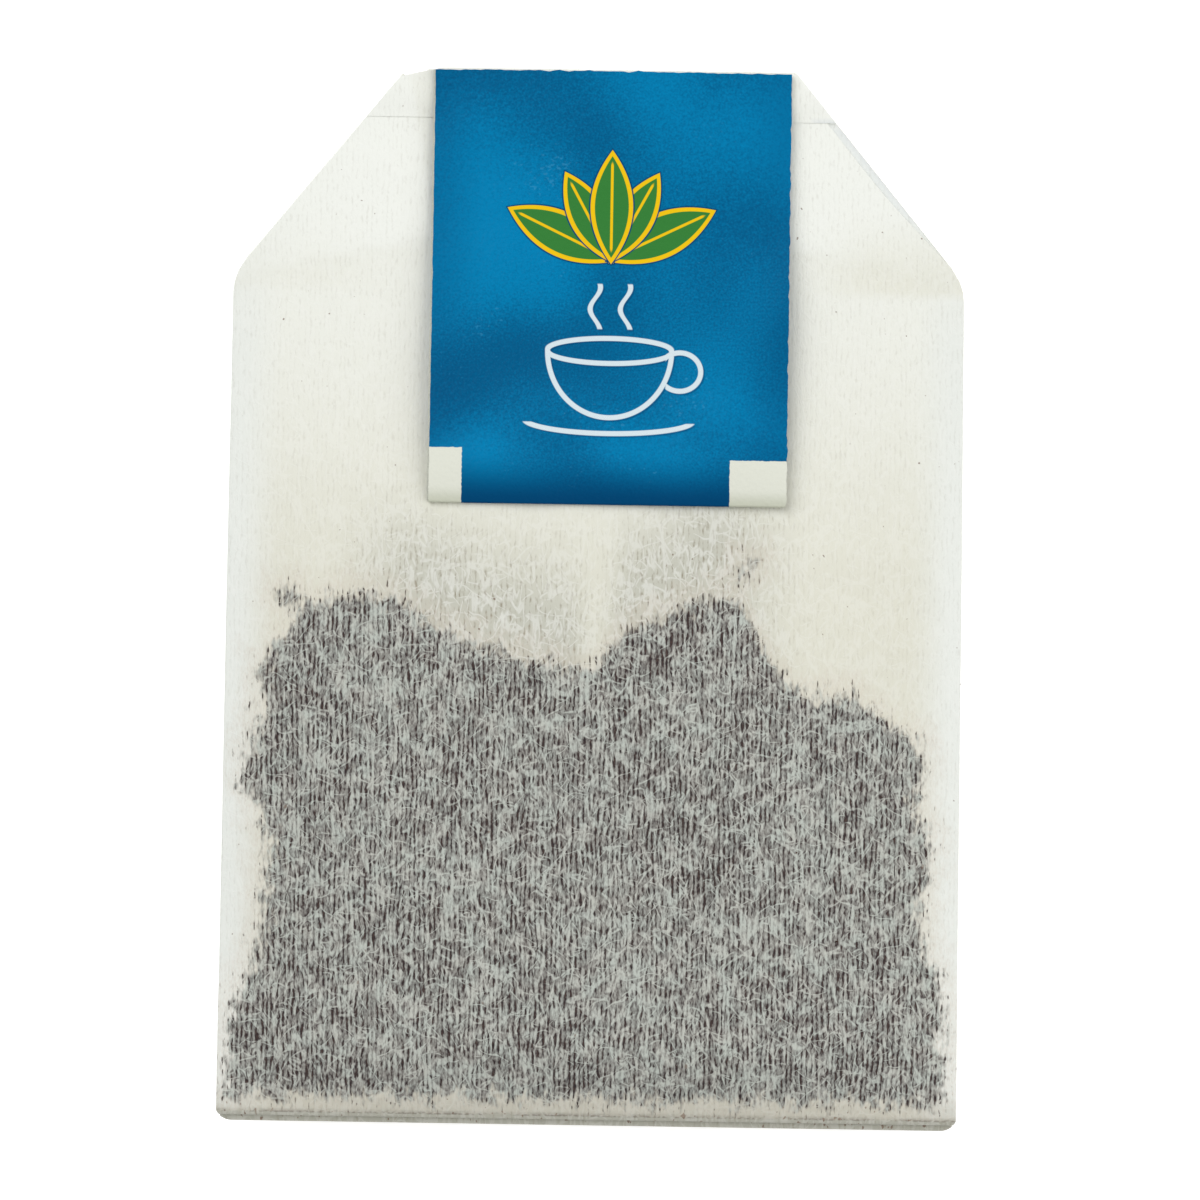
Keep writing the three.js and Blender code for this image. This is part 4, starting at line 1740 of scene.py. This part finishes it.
@dataclass
class HeadStaple:
    """The wire staple that holds the head shut."""

    size: StapleSize
    below: float
    above: float
    half_length: float

    def build(self) -> bpy.types.Object:
        """Build the staple.

        Returns:
            The staple's object.
        """
        s = self.size
        corners = [
            (-s.half_span + s.clinch, self.above - s.dip),
            (-s.half_span, self.above),
            (-s.half_span, self.below),
            (s.half_span, self.below),
            (s.half_span, self.above),
            (s.half_span - s.clinch, self.above - s.dip),
        ]
        path = [corners[0]]
        for before, here, after in zip(corners, corners[1:], corners[2:]):
            entry = self._towards(here, before, s.bend)
            leave = self._towards(here, after, s.bend)
            for t in np.linspace(0, 1, s.bend_points):
                path.append(tuple((1 - t) ** 2 * e + 2 * t * (1 - t) * h + t * t * l
                                  for e, h, l in zip(entry, here, leave)))
        path.append(corners[-1])
        curve = bpy.data.curves.new("staple_path", "CURVE")
        curve.dimensions = "3D"
        curve.bevel_depth = s.wire / 2 * MM
        curve.bevel_resolution = s.segments
        curve.use_fill_caps = True
        spline = curve.splines.new("POLY")
        spline.points.add(len(path) - 1)
        for point, (x, z) in zip(spline.points, path):
            point.co = (x * MM, (s.y - self.half_length) * MM, z * MM, 1.0)
        carrier = bpy.data.objects.new("staple_path", curve)
        bpy.context.scene.collection.objects.link(carrier)
        bpy.context.view_layer.update()
        mesh = bpy.data.meshes.new_from_object(carrier.evaluated_get(bpy.context.evaluated_depsgraph_get()))
        bpy.data.objects.remove(carrier)
        staple = bpy.data.objects.new("aluminium_staple", mesh)
        bpy.context.scene.collection.objects.link(staple)
        mesh.shade_smooth()
        mesh.materials.clear()
        mesh.materials.append(StapleFinish().build())
        outward(staple)
        return staple

    @staticmethod
    def _towards(start: Pair, end: Pair, by: float) -> Pair:
        """The point a short way from one corner towards the next."""
        reach = math.dist(start, end)
        return tuple(a + (b - a) * by / reach for a, b in zip(start, end))


# ---------------------------------------------------------------- studio


@dataclass(frozen=True)
class Studio:
    """Floor, soft light and the camera over the bag."""

    height: float = 0.32
    frame_width: float = 0.07246
    look_at: Pair = (0.36, -0.16)
    roll: float = math.radians(0.9)
    sky: float = 0.36
    key: Triple = (-0.38, 0.40, 0.58)
    key_side: float = 0.75
    key_power: float = 4.4
    fill: Triple = (0.55, -0.15, 0.5)
    fill_side: float = 0.7
    fill_power: float = 3.4
    floor_reach: float = 1.6
    floor_z: float = -0.00005
    floor_tone: float = 0.95
    floor_glow: float = 0.4

    def build(self) -> None:
        """Build the studio."""
        self._floor()
        self._sky()
        self._lamp("key", self.key, self.key_side, self.key_power)
        self._lamp("fill", self.fill, self.fill_side, self.fill_power)
        self._camera()
        view = bpy.context.scene.view_settings
        view.view_transform = "Standard"
        view.look = "None"

    def _floor(self) -> None:
        """A plain pale floor."""
        reach = self.floor_reach
        corners = [(-reach, -reach, 0), (reach, -reach, 0), (reach, reach, 0), (-reach, reach, 0)]
        mesh = bpy.data.meshes.new("floor")
        mesh.from_pydata(corners, [], [(0, 1, 2, 3)])
        floor = bpy.data.objects.new("floor", mesh)
        bpy.context.scene.collection.objects.link(floor)
        floor.location.z = self.floor_z
        finish = Board("floor_white").finish(
            (self.floor_tone,) * 3, 0.9, None, 0.0, Specular_IOR_Level=0.0,
            Emission_Color=(1.0, 1.0, 1.0), Emission_Strength=self.floor_glow)
        mesh.materials.append(finish)

    def _sky(self) -> None:
        """Even light from all round."""
        world = bpy.data.worlds.new("studio")
        world.use_nodes = True
        background = world.node_tree.nodes["Background"]
        background.inputs["Color"].default_value = (1.0, 1.0, 1.0, 1.0)
        background.inputs["Strength"].default_value = self.sky
        bpy.context.scene.world = world

    @staticmethod
    def _lamp(name: str, place: Triple, side: float, power: float) -> None:
        """A square soft box that faces the bag.

        Args:
            name: Name of the lamp.
            place: Where it stands, in metres.
            side: Length of its sides, in metres.
            power: Its power, in watts.
        """
        light = bpy.data.lights.new(name, "AREA")
        light.size = side
        light.energy = power
        lamp = bpy.data.objects.new(name, light)
        bpy.context.scene.collection.objects.link(lamp)
        lamp.location = place
        lamp.rotation_euler = (-Vector(place)).to_track_quat("-Z", "Y").to_euler()

    def _camera(self) -> None:
        """The camera, straight above."""
        data = bpy.data.cameras.new("camera")
        data.sensor_width = 36.0
        data.lens = data.sensor_width * self.height / self.frame_width
        data.clip_start = 0.01
        data.clip_end = 10.0
        camera = bpy.data.objects.new("camera", data)
        bpy.context.scene.collection.objects.link(camera)
        camera.location = (self.look_at[0] * MM, self.look_at[1] * MM, self.height)
        camera.rotation_euler = (0.0, 0.0, self.roll)
        bpy.context.scene.camera = camera


# ---------------------------------------------------------------- assembly


def read_bag_size() -> BagSize:
    """Read the bag's outline from the frame.

    Returns:
        The outline.
    """
    low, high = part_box("filter_bag")
    half = high.x / MM
    return BagSize(
        length=(high.y - low.y) / MM,
        half_bottom=half,
        half_shoulder=half - SHOULDER_IN,
        crown_z=high.z / MM,
    )


def read_tag_size(bag: FilterBag) -> TagSize:
    """Read the tag's size and place from the frame, and lay it on the bag.

    Args:
        bag: The bag under the tag.

    Returns:
        The tag's sizes.
    """
    low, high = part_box("tag")
    tail = low.y / MM + bag.size.length / 2
    chamber_top = bag.edge_z(Side.FRONT, tail) + bag.depth(Side.FRONT, tail)
    return TagSize(
        width=(high.x - low.x) / MM,
        length=(high.y - low.y) / MM,
        right=(high.x + low.x) / 2 / MM,
        top=high.y / MM + bag.size.length / 2,
        under_head=bag.ply.head_top + TAG_OVER_CUFF,
        under_tail=chamber_top + TAG_OVER_CHAMBER,
    )


def main() -> None:
    """Build every piece in order and report it."""
    logging.basicConfig(level=logging.INFO, format="%(name)s: %(message)s")
    Studio().build()
    bag = FilterBag(read_bag_size())
    paper = PaperFinish().build()
    folded = bag.build()
    folded.data.materials.append(paper)
    settle(folded, "filter_paper", "filter_bag")
    for hand in (-1, 1):
        corner = CornerFold(bag, hand).build()
        corner.data.materials.append(paper)
        settle(corner, "filter_paper", "filter_bag")
    leaf = TeaFinish().build()
    for seed, node in enumerate(("front_tea", "rear_tea")):
        settle(TeaPortion(node, FIRST_SEED + seed).build(leaf), "tea", node)
    half_length = bag.size.length / 2
    tag_size = read_tag_size(bag)
    settle(PaperTag(tag_size, half_length).build(), "tag_paper", "tag")
    staple = StapleSize()
    below = bag.ply.head_bottom - staple.clear - staple.wire / 2
    above = bag.ply.head_top + staple.clear + staple.wire / 2
    settle(HeadStaple(staple, below, above, half_length).build(), "staple_wire", "head_staple")


if __name__ == "__main__":
    main()
